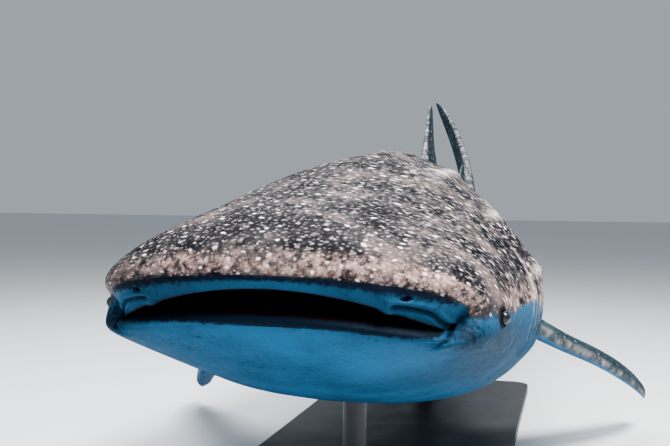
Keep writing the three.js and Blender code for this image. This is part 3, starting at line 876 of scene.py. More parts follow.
@dataclass(frozen=True)
class Masks:
    """Masks over a piece's grid, from 0 to 1. Each is an array or one number for the whole grid."""

    dark: Array | float = 0.0
    rim: Array | float = 0.0
    # line: pale lines; on the ridges they are partly a painted highlight along the crests.
    line: Array | float = 0.0
    # inside: the mouth's reddish lining, painted near black as shade inside the mouth and a little onto the
    # lips.
    inside: Array | float = 0.0
    # lip: painted shade on the lower lip under the upper jaw and in a line under the brow, with the skin's
    # own dark flecks at the mouth's corners.
    lip: Array | float = 0.0
    # slit: painted shade in the gill slits, folds, nostrils, eye sockets and spiracles, and on the upper
    # lip's face, the cheeks and the dark back's edge.
    slit: Array | float = 0.0

    def write(self, mesh: bpy.types.Mesh, shape: tuple[int, int]) -> None:
        """Writes the masks as two colour attributes.

        Args:
            mesh: The mesh that gets them, whose last two vertices are the grid's poles.
            shape: The grid's rings and columns.
        """
        layers = {"tone": (self.dark, self.rim, self.line), "mark": (self.inside, self.lip, self.slit)}
        for name, masks in layers.items():
            channels = [np.broadcast_to(mask, shape).ravel() for mask in (*masks, 1.0)]
            colours = np.stack(channels, axis=-1)
            colours = np.concatenate([colours, colours[[0, -1]]])
            layer = mesh.attributes.new(name, "FLOAT_COLOR", "POINT")
            layer.data.foreach_set("color", colours.astype(np.float32).ravel())


class Markings:
    """Where the skin is dark, pale, lined and lipped, and where light and shade are painted onto it.

    BACK_EDGE is the girth angle where the dark back ends, by station. BAND_EDGE says how far down
    the lower lip its dark band of painted shade, under the upper jaw, reaches, by girth angle, as a
    share of the lip. The names in SIDES are ranges of girth angle, those in SHARES of the way down a
    lip's face, those in MARKS of the rings' marks, and HUMPS are each a strength, a middle and a spread.
    """

    BACK_EDGE = Profile(
        [0, 0.04, 0.06, 0.077, 0.11, 0.15, 0.204, 0.26, 0.4, 0.6, 0.85],
        [90, 91, 91.6, 91.4, 88.5, 89.5, 92.5, 99, 108, 108, 100],
    )
    BAND_EDGE = Profile(
        [90, 103, 117, 130, 146, 162, 182, 204, 228, 250, 270],
        [0.06, 0.2, 0.62, 0.86, 0.98, 0.95, 1.05, 0.72, 0.5, 0.35, 0.06],
    )
    SIDES = {
        "flank": (-7, 7), "brow": (35, 75), "brow_end": (74, 88), "rim_end": (88, 93), "gills": (66, 94),
        "streak": (58, 68), "streak_end": (84, 92), "lip_end": (68, 88), "shade_end": (78, 94),
    }
    SHARES = {
        "rim": (0.06, 0.97), "lining": (0, 0.1), "under_brow": (0.88, 0.98), "edge": (0.02, 0.14),
        "shade": (0.5, 0.8), "band": (-0.26, 0.3), "brow": (-0.34, 0.16), "lower_lining": 0.13,
    }
    MARKS = {
        "eye": (0.25, 0.6), "eye_end": (1.14, 1.2), "cheek_end": (1.05, 1.3), "rim_end": 1.2,
        "border": (0.02, 0.08), "border_end": (0.5, 0.62),
    }
    # The cheek, border and fold humps shape painted shade.
    HUMPS = {
        "rim": (1, 0.036, 0.05), "rim_edge": (0.3, 0, 0.03), "rim_far": (0.12, 0, 0.11), "eye": (0.75, 84, 9),
        "streak": (1, 0.157, 0.004), "lining": (0.3, 172, 34), "flecks": (0.56, 0, 0.11),
        "cheek": (0.6, 107, 30), "border": (0.5, -0.5, 2.2), "fold": (1.4, 0, 0.0055),
    }
    BROW_LEVEL = 0.69
    BROW_RISE = 0.15
    RIM_ON_LIP = 0.35
    # Painted light on the rim: its strength at the middle, how much it rises to the left side and falls to
    # the right, and over what width in metres.
    RIM_LIT_SIDE = (0.82, 0.18, 0.4)
    EDGE_LINE = 0.8
    LIP_LINE = 0.4
    # LIP_SHADE, UPPER_SLITS, DEEPEST_FOLD, the edges of the holes and NOSTRIL_DARK set painted shade on the
    # lip's face, in the slits, in the folds and in the holes.
    LIP_SHADE = 0.34
    BAND_REACH = 0.04
    UPPER_SLITS = 0.25
    DEEPEST_FOLD = 0.95
    SOCKET_EDGE = (0.036, 0.05)
    SPIRACLE_EDGE = (0.8, 1.5)
    NOSTRIL_EDGE = (0.25, 1)
    NOSTRIL_DARK = 0.9
    CORNER = Feature(101, 0.09)

    def __init__(self, mesh: SkinMesh, grid: SkinGrid) -> None:
        """Works out what several masks share.

        Args:
            mesh: The skin's forms.
            grid: The finished grid.
        """
        self.mesh = mesh
        self.grid = grid
        self.from_edge = grid.side - self.BACK_EDGE(grid.stations)
        self.flank = falling(*self.SIDES["flank"], self.from_edge)
        self.under_brow = self.BROW_LEVEL + self.BROW_RISE * smooth(*self.SIDES["brow"], grid.side)
        self.upper_lip = grid.on_lip & grid.upper
        self.lower_gills = smooth(*self.SIDES["gills"], grid.side)
        gills = mesh.form.gills.marks(grid.stations, grid.side)
        self.gill_slits, self.gill_edges = (mark * (grid.mark > 1) for mark in gills)

    def masks(self) -> Masks:
        """All masks."""
        return Masks(self.dark(), self.rim(), self.line(), self.inside(), self.lip(), self.slit())

    def hump(self, name: str, value: Array) -> Array:
        """One of the humps over a value."""
        strength, middle, spread = self.HUMPS[name]
        return strength * bell(value, middle, spread)

    def dark(self) -> Array:
        """The dark back, and its edge on the upper lip's face.

        Returns:
            A mask over the grid.
        """
        g = self.grid
        fade = self.SHARES["brow"][1]
        brow = smooth(self.under_brow, self.under_brow + fade, g.share)
        brow = brow * falling(*self.SIDES["brow_end"], g.side)
        return np.where(g.mark >= 0, self.flank, brow * self.upper_lip)

    def rim(self) -> Array:
        """The blotched pale rim over the mouth, which runs back over each eye, with painted light: brighter
        on the animal's left side and dimmer on its right.

        Returns:
            A mask over the grid.
        """
        g = self.grid
        from_brow = g.from_brow()
        rim = np.maximum(self.hump("rim", from_brow), self.hump("rim_edge", from_brow))
        rim = np.clip(rim + self.hump("rim_far", from_brow), 0, 1) * falling(*self.SIDES["rim_end"], g.side)
        rim = rim * (g.mark >= 0) * (g.mark < self.MARKS["rim_end"])
        low, high = self.SHARES["rim"]
        on_lip = self.RIM_ON_LIP * smooth(self.under_brow + low, high, g.share)
        # Painted light: the rim is brighter on the animal's left side and dimmer on its right.
        even, lit_rise, width = self.RIM_LIT_SIDE
        rim = np.where(self.upper_lip, on_lip, rim) * (even + lit_rise * np.clip(g.points[..., 0] / width, -1, 1))
        along = window(g.mark, self.MARKS["eye"], self.MARKS["eye_end"])
        return np.maximum(rim, self.hump("eye", g.side) * along)

    def line(self) -> Array:
        """The pale lines on the ridges, partly a painted highlight along the crests, and on the flaps' edges,
        and a streak on the first flap.

        Returns:
            A mask over the grid.
        """
        g, form = self.grid, self.mesh.form
        ridges = sum(ridge.pale_line(g.stations, g.side) for ridge in form.ridges[: form.pale_ridges])
        streak = self.hump("streak", g.stations)
        streak = streak * window(g.side, self.SIDES["streak"], self.SIDES["streak_end"])
        edges = np.maximum(self.gill_edges * self.lower_gills, streak)
        return np.maximum(ridges, self.EDGE_LINE * edges) * (g.mark > 1)

    def inside(self) -> Array:
        """The mouth's reddish lining, painted near black as shade inside the mouth, which runs a little onto
        both lips.

        Returns:
            A mask over the grid.
        """
        g = self.grid
        reach = self.hump("lining", g.girth)
        lower = falling(reach, reach + self.SHARES["lower_lining"], g.share)
        lips = np.where(g.upper, falling(*self.SHARES["lining"], g.share), lower)
        return np.where(g.on_lip, lips, g.mark <= -2)

    def lip(self) -> Array:
        """Painted shade on the lower lip under the upper jaw and in a dark line under the brow, and the
        skin's own dark flecks at the corners.

        Returns:
            A mask over the grid.
        """
        g = self.grid
        edge = self.BAND_EDGE(g.girth)
        start, stop = self.SHARES["band"]
        down = np.where(g.on_lip, g.share, 1 + g.from_brow() / self.BAND_REACH)
        # Painted shade: the lower lip's dark band, in the shade of the upper jaw.
        band = falling(edge + start, edge + stop, down) * (g.on_lip | (g.mark >= 0)) * ~g.upper
        low, high = self.SHARES["brow"]
        # Painted shade: the dark line under the brow.
        under = window(g.share, (self.under_brow + low, self.under_brow + high), self.SHARES["under_brow"])
        under = under + self.LIP_LINE * falling(*self.SHARES["edge"], g.share)
        lip = np.where(self.upper_lip, under, band)
        lip = lip * (1 - smooth(*self.SIDES["lip_end"], g.side) * (g.upper | (g.mark >= 0)))
        # The dark flecks at the mouth's corners are the skin's own.
        for side in Side:
            flecks = self.hump("flecks", g.distance(self.mesh.on_patch(self.CORNER, side)))
            lip = np.maximum(lip, flecks * g.outside * ~g.upper)
        return lip

    def slit(self) -> Array:
        """Painted shade in the slits, folds and holes, and soft painted shade on the lip's face, the cheek
        and the back's edge.

        Returns:
            A mask over the grid.
        """
        g = self.grid
        # Painted shade on the upper lip's face under the brow, on the cheeks, along the dark back's edge and
        # in the slits, folds and holes.
        lip_face = self.LIP_SHADE * falling(*self.SHARES["shade"], g.share) * self.upper_lip
        lip_face = lip_face * falling(*self.SIDES["shade_end"], g.side)
        cheek = self.hump("cheek", g.side) * falling(*self.MARKS["cheek_end"], g.mark) * g.outside
        cheek = cheek * np.where(g.mark >= 0, 1 - self.flank, 1)
        border = self.hump("border", self.from_edge)
        border = border * window(g.mark, self.MARKS["border"], self.MARKS["border_end"])
        slits = self.gill_slits * (self.UPPER_SLITS + (1 - self.UPPER_SLITS) * self.lower_gills)
        parts = [lip_face, cheek, border, slits]
        for side in Side:
            fold = np.clip(self.hump("fold", g.folds[side]), 0, self.DEEPEST_FOLD)
            parts += [fold * g.outside, self.holes(side) * g.outside]
        return np.maximum.reduce(parts)

    def holes(self, side: Side) -> Array:
        """Painted shade in a side's nostril, eye socket and spiracle.

        Args:
            side: Which side.

        Returns:
            A mask over the grid.
        """
        g, mesh = self.grid, self.mesh
        socket = falling(*self.SOCKET_EDGE, g.distance(mesh.on_patch(mesh.features.eye, side)))
        spiracle = falling(*self.SPIRACLE_EDGE, mesh.in_spiracle(g, side))
        nostril = self.NOSTRIL_DARK * falling(*self.NOSTRIL_EDGE, mesh.in_nostril(g, side))
        return np.maximum.reduce([socket, spiracle, nostril])


def make_object(
    name: str, points: Array, faces: Array, uv: Array | None = None, smooth_faces: bool = True
) -> bpy.types.Object:
    """Makes a mesh object at the origin.

    Args:
        name: The object's name.
        points: The vertices, one row each.
        faces: The faces' vertex numbers, one row each. A triangle repeats its last number.
        uv: One pair for each corner of each face, in the faces' order.
        smooth_faces: Whether the faces shade smoothly.

    Returns:
        The new object, linked to the scene.
    """
    mesh = bpy.data.meshes.new(name)
    polygons = [[int(v) for v in dict.fromkeys(face)] for face in faces.tolist()]
    mesh.from_pydata(points.reshape(-1, 3).tolist(), [], polygons)
    if uv is not None:
        layer = mesh.uv_layers.new(name="pattern")
        kept = np.ones(faces.shape, bool)
        kept[:, 3] = faces[:, 3] != faces[:, 2]
        layer.data.foreach_set("uv", uv[kept].astype(np.float32).ravel())
    mesh.polygons.foreach_set("use_smooth", [smooth_faces] * len(mesh.polygons))
    mesh.update()
    return linked(name, mesh)


def linked(name: str, data: bpy.types.ID) -> bpy.types.Object:
    """Makes an object of a mesh, lamp or camera and links it to the scene."""
    thing = bpy.data.objects.new(name, data)
    bpy.context.scene.collection.objects.link(thing)
    return thing


def closed_faces(rings: int, columns: int) -> Array:
    """The faces of a closed surface over a grid of rings.

    Args:
        rings: How many rings there are.
        columns: How many vertices a ring has.

    Returns:
        The quads ring by ring, then the triangles to the poles at the first and the last ring. The
        poles are the two vertices after the grid's.
    """
    grid = np.arange(rings * columns).reshape(rings, columns)
    nxt = np.roll(grid, -1, axis=1)
    quads = np.stack([grid[:-1], nxt[:-1], nxt[1:], grid[1:]], axis=-1).reshape(-1, 4)
    first, last = np.full(columns, grid.size), np.full(columns, grid.size + 1)
    start = np.stack([first, nxt[0], grid[0], grid[0]], axis=-1)
    stop = np.stack([last, grid[-1], nxt[-1], nxt[-1]], axis=-1)
    return np.concatenate([quads, start, stop])


def dress(thing: bpy.types.Object, finish: bpy.types.Material, slot: Slot, *nodes: str) -> bpy.types.Object:
    """Gives a piece its material, hides the nodes that it replaces and hangs it on the root.

    Args:
        thing: The piece.
        finish: Its material.
        slot: Not used.
        nodes: The nodes that it replaces, if any.

    Returns:
        The piece.
    """
    thing.data.materials.clear()
    thing.data.materials.append(finish)
    if nodes:
        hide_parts(*nodes)
    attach(thing, "root")
    return thing


@dataclass
class Skin:
    """The body's skin, from the mouth's lining to the tail, with the pitch of its spots by station."""

    form: BodyForm
    nodes: tuple[str, ...] = (
        "head", "lower_jaw", "gill_region", "chest", "trunk", "tail_front", "tail_stalk",
    )
    pitch: Profile = Profile(
        [0, 0.05, 0.12, 0.2, 0.3, 0.4, 0.55, 0.7, 0.85, 1.0],
        [0.036, 0.041, 0.05, 0.06, 0.07, 0.076, 0.076, 0.062, 0.05, 0.05],
    )
    widening: float = 0.78
    throat_pole: float = 0.004
    tail_pole: float = 0.008

    def make(self, finish: bpy.types.Material) -> bpy.types.Object:
        """Builds the skin.

        Args:
            finish: The skin's material.

        Returns:
            The skin's object.
        """
        form, mesh = self.form, SkinMesh(self.form)
        grid = mesh.build()
        rings, columns = grid.stations.shape
        tail_level = (form.back(BODY_END) + form.belly(BODY_END)) / 2
        poles = form.spine.place(
            [form.throat_at + self.throat_pole, BODY_END + self.tail_pole], 0, [form.throat_level, tail_level]
        )
        uv = np.concatenate([self.pattern(grid), np.zeros((2 * columns, 4, 2))])
        points = np.concatenate([grid.points.reshape(-1, 3), poles])
        thing = make_object("skin_body", points, closed_faces(rings, columns), uv)
        Markings(mesh, grid).masks().write(thing.data, (rings, columns))
        return dress(thing, finish, Slot.SKIN, *self.nodes)

    def pattern(self, grid: SkinGrid) -> Array:
        """The pattern map: rows of spots along the body and round it, about one spot to a unit.

        Args:
            grid: The skin's grid.

        Returns:
            A pair for each corner of each quad. The map runs down each side from the back's midline
            and is parted along the belly's.
        """
        rings, columns = grid.stations.shape
        half = columns // 2
        pitch = self.pitch(grid.stations)
        along = np.cumsum(np.linalg.norm(np.diff(grid.points, axis=0), axis=-1) / pitch[1:], axis=0)
        along = np.concatenate([np.zeros((1, columns)), along])
        along = along - along[grid.brow_ring]
        closed = np.concatenate([grid.points, grid.points[:, :1]], axis=1)
        step = np.linalg.norm(np.diff(closed, axis=1), axis=-1)
        start = np.zeros((rings, 1))
        down_left = np.concatenate([start, np.cumsum(step[:, :half], axis=1)], axis=1)
        down_right = np.concatenate([start, -np.cumsum(step[:, : half - 1 : -1], axis=1)], axis=1)[:, ::-1]
        around = np.arange(columns + 1) % columns
        sides = []
        for part, down in ((around[: half + 1], down_left), (around[half:], down_right)):
            uv = np.stack([along[:, part], down / pitch[:, part] * self.widening], axis=-1)
            sides.append(np.stack([uv[:-1, :-1], uv[:-1, 1:], uv[1:, 1:], uv[1:, :-1]], axis=-2))
        return np.concatenate(sides, axis=1).reshape(-1, 4, 2)


@dataclass(frozen=True)
class FinPlan:
    """A fin's root, span and outline, as shares of the length, with its tables by span share."""

    node: str
    root: Triple
    span: Triple
    across: Triple
    thick: float
    spans: tuple[float, ...]
    lead: tuple[float, ...]
    chord: tuple[float, ...]
    twist: tuple[float, ...] = ()
    sag: tuple[float, ...] = ()
    side: Side = Side.LEFT
    twist_scale: float = 1.0
    dark: float = 1.0
    paired: bool = False


@dataclass(frozen=True)
class LobePlan:
    """A lobe of the tail fin, by levels: where its leading and trailing edges are."""

    node: str
    thick: float
    levels: tuple[float, ...]
    lead: tuple[float, ...]
    trail: tuple[float, ...]


@dataclass
class Blade:
    """A fin or a lobe of the tail: rounded rings from its root to its tip."""

    form: BodyForm
    plan: FinPlan | LobePlan
    rows: int
    shares: int = 20
    root_flare: float = 0.45
    edge: float = 0.05
    bulk: Triple = (2.6, 2.35, 0.25)
    fullness: float = 1.36
    crowding: float = 1.7
    thinning: float = 0.85
    pattern_pitch: float = 0.08
    pattern_start: Pair = (31, 17)
    front_spread: float = 0.05
    front_line: float = 0.35

    def loop(self) -> tuple[Array, Array]:
        """The loop of one ring, from the front over one face to the back and over the other.

        Returns:
            Each vertex's share of the chord, and how far off the chord it is: above 0 on one face,
            below 0 on the other.
        """
        out = np.linspace(0, 1, self.shares) ** self.crowding
        share = np.concatenate([out, out[-2:0:-1]])
        inner = np.ones(self.shares - 2)
        face = np.concatenate([[0], inner, [0], -inner])
        round_, straight, hollow = self.bulk
        bulk = (round_ * np.sqrt(share) - straight * share - hollow * share**3) * self.fullness
        return share, face * (np.maximum(bulk, 0) * (1 - self.edge) + self.edge)

    def rings(self) -> tuple[Array, Array]:
        """The blade's places by ring and column, and the way along the chord at each."""
        raise NotImplementedError

    def masks(self, points: Array) -> Masks:
        """The blade's masks, over its places by ring and column."""
        share, _ = self.loop()
        return Masks(dark=1.0, line=self.front_line * bell(share, 0, self.front_spread))

    def make(self, finish: bpy.types.Material) -> bpy.types.Object:
        """Builds the blade, with a pole at the root and one at the tip.

        Args:
            finish: The skin's material.

        Returns:
            The blade's object, its faces pointing outwards.
        """
        points, chord_way = self.rings()
        rings, columns = points.shape[:2]
        faces = closed_faces(rings, columns)
        middles = points.mean(axis=1)
        every = np.concatenate([points.reshape(-1, 3), middles[[0, -1]]])
        a, b, c, d = (every[faces[:, k]] - middles[0] for k in range(4))
        if np.sum(a * np.cross(b, c)) + np.sum(a * np.cross(c, d)) < 0:
            faces = faces[:, ::-1].copy()
            triangles = faces[:, 0] == faces[:, 1]
            faces[triangles] = faces[triangles][:, [1, 2, 3, 3]]
        step = np.linalg.norm(np.diff(middles, axis=0), axis=-1)
        span_way = np.broadcast_to(np.concatenate([[0], np.cumsum(step)])[:, None], (rings, columns))
        ways = np.stack([chord_way * LENGTH, span_way], axis=-1) / self.pattern_pitch + self.pattern_start
        ways = ways.reshape(-1, 2)
        ways = np.concatenate([ways, ways[[0, -1]]])
        thing = make_object("skin_" + self.plan.node, every, faces, ways[faces])
        self.masks(points).write(thing.data, (rings, columns))
        return dress(thing, finish, Slot.SKIN, self.plan.node)


@dataclass
class Fin(Blade):
    """A fin's skin."""

    rows: int = 56
    flare_span: float = 0.13
    tip_crowding: float = 1.25
    pale_below: Pair = (-0.8, -0.3)
    paired_line: float = 0.25

    def rings(self) -> tuple[Array, Array]:
        """The fin's rings, turned and bent by its tables.

        Returns:
            The places by ring and column, and the way along the chord at each.
        """
        plan, side = self.plan, self.plan.side.value
        root, span, across = (np.array(v) * (1, side, 1) for v in (plan.root, plan.span, plan.across))
        across = across / np.linalg.norm(across)
        normal = np.cross(across, span)
        normal = normal / np.linalg.norm(normal) * side
        axis = Vector(span).normalized()
        ats = 1 - (1 - np.linspace(0, 1, self.rows)) ** self.tip_crowding
        flat = (0,) * len(plan.spans)
        tables = (plan.lead, plan.chord, plan.twist or flat, plan.sag or flat)
        share, half_thick = self.loop()
        points, ways = [], []
        for at, lead, chord, twist, sag in zip(ats, *(Profile(plan.spans, table)(ats) for table in tables)):
            spin = Matrix.Rotation(math.radians(twist) * plan.twist_scale * -side, 3, axis)
            way, face = np.array(spin @ Vector(across)), np.array(spin @ Vector(normal))
            flare = 1 + self.root_flare * math.exp(-at / self.flare_span)
            thick = plan.thick / 2 * (chord / plan.chord[0]) ** self.thinning * flare * side
            front = root + span * at + across * lead + normal * sag
            points.append(front + np.outer(chord * share, way) + np.outer(thick * half_thick, face))
            ways.append(lead + chord * share)
        return self.form.spine.place(*np.moveaxis(np.array(points), -1, 0)), np.array(ways)

    def masks(self, points: Array) -> Masks:
        """Dark above and pale below on a paired fin, and dark on both faces of the others.

        Args:
            points: The fin's places, by ring and column.

        Returns:
            The masks.
        """
        if not self.plan.paired:
            return Masks(self.plan.dark, line=super().masks(points).line)
        normals = grid_normals(points)
        if np.sum(normals * (points - points.mean(axis=1, keepdims=True))) < 0:
            normals = -normals
        share, _ = self.loop()
        dark = smooth(*self.pale_below, normals[..., 2])
        return Masks(dark, line=self.paired_line * bell(share, 0, self.front_spread))


@dataclass
class TailLobe(Blade):
    """The skin of one lobe of the tail fin."""

    rows: int = 64
    flare_rows: float = 1.2

    def rings(self) -> tuple[Array, Array]:
        """The lobe's level rings.

        Returns:
            The places by ring and column, and the way along the chord at each.
        """
        plan = self.plan
        steps = range(len(plan.levels))
        row = np.linspace(0, steps[-1], self.rows)[:, None]
        lead, trail, level = (Profile(steps, table)(row) for table in (plan.lead, plan.trail, plan.levels))
        share, half_thick = self.loop()
        chord = trail - lead
        widest = plan.trail[1] - plan.lead[1]
        flare = 1 + self.root_flare * np.exp(-np.maximum(row - 1, 0) / self.flare_rows)
        thick = plan.thick / 2 * np.minimum(chord / widest, 1) ** self.thinning * flare
        ways = lead + chord * share
        return self.form.spine.place(ways, thick * half_thick, level), ways


SMALL_SPANS = (0, 0.25, 0.6, 0.88, 1)

FIN_PLANS = (
    FinPlan(
        "dorsal_fin_first", (0.452, 0, 0.062), (0, -0.004, 0.069), (1, 0, 0), 0.0105,
        (0, 0.16, 0.4, 0.65, 0.86, 0.96, 1),
        (-0.004, 0.007, 0.0285, 0.0485, 0.064, 0.0735, 0.081),
        (0.108, 0.0945, 0.0635, 0.041, 0.0255, 0.015, 0.004),
    ),
    FinPlan(
        "dorsal_fin_second", (0.652, 0, 0.045), (0, 0, 0.036), (1, 0, 0), 0.0062,
        SMALL_SPANS, (0, 0.006, 0.0185, 0.0285, 0.036), (0.048, 0.041, 0.0235, 0.012, 0.003),
    ),
    FinPlan(
        "anal_fin", (0.668, 0, -0.013), (0, 0, -0.036), (1, 0, 0), 0.0058,
        SMALL_SPANS, (0, 0.006, 0.018, 0.028, 0.035), (0.044, 0.037, 0.0215, 0.011, 0.003), dark=0.7,
    ),
)


def pectoral_plan(side: Side) -> FinPlan:
    """The plan of one pectoral fin. The right one hangs a little lower and faces the front more.

    Args:
        side: Which side it is on.

    Returns:
        The plan.
    """
    left = side is Side.LEFT
    return FinPlan(
        side.name_of("pectoral_fin"),
        (0.222, 0.082, -0.0255),
        (0.045, 0.114, -0.0635) if left else (0.045, 0.119, -0.0715),
        (1, -0.06, -0.1),
        0.0138,
        (0, 0.15, 0.35, 0.55, 0.75, 0.9, 0.97, 1),
        (-0.006, 0.002, 0.024, 0.052, 0.084, 0.112, 0.129, 0.142),
        (0.083, 0.0765, 0.067, 0.058, 0.0455, 0.034, 0.024, 0.009),
        (0, 1, 3, 6, 10, 12, 13, 13),
        (0, -0.001, -0.002, -0.002, -0.0045, -0.008, -0.0105, -0.012),
        side,
        1.0 if left else -0.5,
        paired=True,
    )


def pelvic_plan(side: Side) -> FinPlan:
    """The plan of one pelvic fin.

    Args:
        side: Which side it is on.

    Returns:
        The plan.
    """
    return FinPlan(
        side.name_of("pelvic_fin"),
        (0.482, 0.026, -0.046),
        (0.006, 0.036, -0.028),
        (1, -0.08, 0.1),
        0.0062,
        (0, 0.35, 0.7, 0.93, 1),
        (0, 0.0085, 0.02, 0.03, 0.037),
        (0.042, 0.036, 0.026, 0.015, 0.004),
        (0, 0, 2, 4, 5),
        (0, 0.0005, 0, -0.001, -0.0015),
        side,
        paired=True,
    )


LOBE_PLANS = (
    LobePlan(
        "tail_fin_upper_lobe", 0.0125,
        (0.012, 0.034, 0.06, 0.09, 0.12, 0.146, 0.163, 0.173, 0.1775),
        (0.8, 0.8045, 0.826, 0.861, 0.9, 0.9375, 0.963, 0.981, 0.995),
        (0.868, 0.8705, 0.8925, 0.9185, 0.947, 0.9725, 0.988, 0.9955, 0.999),
    ),
    LobePlan(
        "tail_fin_lower_lobe", 0.0115,
        (0.03, 0.004, -0.015, -0.04, -0.062, -0.08, -0.089, -0.0925),
        (0.806, 0.802, 0.8125, 0.836, 0.859, 0.88, 0.8945, 0.903),
        (0.87, 0.8675, 0.8685, 0.8765, 0.8885, 0.9, 0.905, 0.9065),
    ),
)


@dataclass
class Eye:
    """One eyeball with its pupil, iris and dark outer ring, looking out and forward."""

    form: BodyForm
    side: Side
    features: HeadFeatures = field(default_factory=HeadFeatures)
    rings: int = 40
    columns: int = 48
    forward: float = 0.9

    def seat(self) -> tuple[Array, Array]:
        """Finds the eyeball's seat.

        Returns:
            The eyeball's middle and the way out of the head there.
        """
        f = self.features
        angle, share = self.side.angle(f.eye.angle), f.eye.share
        places = (angle + 1, share), (angle - 1, share), (angle, share + 0.02), (angle, share - 0.02)
        left, right, back, front = (self.form.spine.place(*self.form.patch_point(*v)) for v in places)
        out = np.cross(left - right, back - front)
        out = out / np.linalg.norm(out)
        return self.form.spine.place(*self.form.patch_point(angle, share)) + out * f.eye_proud, out

    def make(self, finish: bpy.types.Material) -> bpy.types.Object:
        """Builds the eyeball.

        Args:
            finish: The eye's material.

        Returns:
            The eye's object.
        """
        middle, out = self.seat()
        spin = Vector((0, 0, 1)).rotation_difference(Vector(out)).to_matrix()
        polar = np.linspace(math.pi, 0, self.rings + 1)[1:-1, None]
        around = np.linspace(0, 2 * math.pi, self.columns, endpoint=False)
        ball = [np.sin(polar) * np.cos(around), np.sin(polar) * np.sin(around), np.cos(polar)]
        unit = np.stack(spread_out(*ball), axis=-1).reshape(-1, 3)
        unit = np.concatenate([unit, [[0, 0, -1], [0, 0, 1]]])
        outward = unit @ np.array(spin).T
        points = middle + outward * self.features.eye_radius
        thing = make_object(self.side.name_of("eyeball"), points, closed_faces(len(polar), self.columns))
        gaze = out + np.array([0, -self.forward, 0])
        gaze = gaze / np.linalg.norm(gaze)
        off_axis = np.degrees(np.arccos(np.clip(outward @ gaze, -1, 1)))
        layer = thing.data.attributes.new("off_axis", "FLOAT", "POINT")
        layer.data.foreach_set("value", (off_axis / 90).astype(np.float32))
        return dress(thing, finish, Slot.EYE, self.side.name_of("eye"))


class Nodes:
    """Short ways to add and link shader nodes in one tree."""

    def __init__(self, tree: bpy.types.NodeTree) -> None:
        """Keeps the tree."""
        self.tree = tree

    def add(self, kind: str, **settings: object) -> bpy.types.Node:
        """Adds a node.

        Args:
            kind: The node's type.
            settings: Its plain properties.

        Returns:
            The node.
        """
        node = self.tree.nodes.new(kind)
        for name, value in settings.items():
            setattr(node, name, value)
        return node

    def feed(self, node: bpy.types.Node, **values: object) -> bpy.types.Node:
        """Links outputs to a node's inputs, or sets the inputs' own values.

        Args:
            node: The node.
            values: An output or a value for each input. An underscore stands for a space.

        Returns:
            The node.
        """
        for name, value in values.items():
            self.put(node.inputs[name.replace("_", " ")], value)
        return node

    def put(self, socket: Socket, value: object) -> None:
        """Links an output to a socket, or sets the socket's own value.

        Args:
            socket: The input.
            value: An output or a value.
        """
        if isinstance(value, bpy.types.NodeSocket):
            self.tree.links.new(value, socket)
        else:
            socket.default_value = value

    def line_up(self, node: bpy.types.Node, *values: object) -> bpy.types.Node:
        """Feeds a node's first inputs in their order.

        Args:
            node: The node.
            values: An output or a value for each.

        Returns:
            The node.
        """
        for socket, value in zip(node.inputs, values):
            self.put(socket, value)
        return node

    def math(self, operation: str, *values: object, clamp: bool = False) -> Socket:
        """A Math node over sockets or numbers."""
        node = self.add("ShaderNodeMath", operation=operation, use_clamp=clamp)
        return self.line_up(node, *values).outputs[0]

    def times(self, first: object, second: object) -> Socket:
        """A product of sockets or numbers."""
        return self.math("MULTIPLY", first, second)

    def frayed(self, mask: Socket, noise: Socket, share: float) -> Socket:
        """A mask with noise added round its own level."""
        return self.math("ADD", mask, self.times(self.math("SUBTRACT", noise, 0.5), share))

    def vector(self, operation: str, *values: object) -> Socket:
        """A Vector Math node over sockets or triples."""
        return self.line_up(self.add("ShaderNodeVectorMath", operation=operation), *values).outputs[0]

    def scaled(self, vector: Socket, factor: float) -> Socket:
        """A vector times a number."""
        node = self.add("ShaderNodeVectorMath", operation="SCALE")
        self.put(node.inputs[0], vector)
        return self.feed(node, Scale=factor).outputs[0]

    def blend(self, share: object, low: object, high: object) -> Socket:
        """A colour mix.

        Args:
            share: The share of the second colour.
            low: The first colour.
            high: The second colour.

        Returns:
            The mixed colour.
        """
        node = self.add("ShaderNodeMix", data_type="RGBA")
        for index, value in ((0, share), (6, low), (7, high)):
            self.put(node.inputs[index], value)
        return node.outputs[2]

    def span(
        self, value: Socket, low: float, high: float, to_low: float = 0.0, to_high: float = 1.0
    ) -> Socket:
        """A smooth map of one range to another."""
        node = self.add("ShaderNodeMapRange", interpolation_type="SMOOTHSTEP")
        return self.line_up(node, value, low, high, to_low, to_high).outputs[0]

    def channels(self, name: str) -> list[Socket]:
        """The three numbers of a colour attribute."""
        return self.parts(self.add("ShaderNodeAttribute", attribute_name=name).outputs["Color"])

    def parts(self, colour: Socket) -> list[Socket]:
        """The three numbers of a colour."""
        return list(self.line_up(self.add("ShaderNodeSeparateColor"), colour).outputs)

    def object_place(self) -> Socket:
        """The place on the piece, in metres."""
        return self.add("ShaderNodeTexCoord").outputs["Object"]

    def group(self, tree: bpy.types.NodeTree, **values: object) -> bpy.types.Node:
        """Puts a node group into the tree and feeds it."""
        return self.feed(self.add("ShaderNodeGroup", node_tree=tree), **values)


@dataclass(frozen=True)
class Noise:
    """A noise texture over a place."""

    scale: float
    detail: float = 4
    rough: float = 0.55

    def node(self, n: Nodes, place: Socket) -> bpy.types.Node:
        """Adds the texture's node."""
        node = n.add("ShaderNodeTexNoise")
        return n.feed(node, Vector=place, Scale=self.scale, Detail=self.detail, Roughness=self.rough)

    def build(self, n: Nodes, place: Socket) -> Socket:
        """The texture's grey value."""
        return self.node(n, place).outputs["Fac"]


def tint(value: Triple, factor: float = 1.0) -> tuple[float, float, float, float]:
    """A colour, darkened or lightened by a factor, with its alpha."""
    return (*(v * factor for v in value), 1.0)


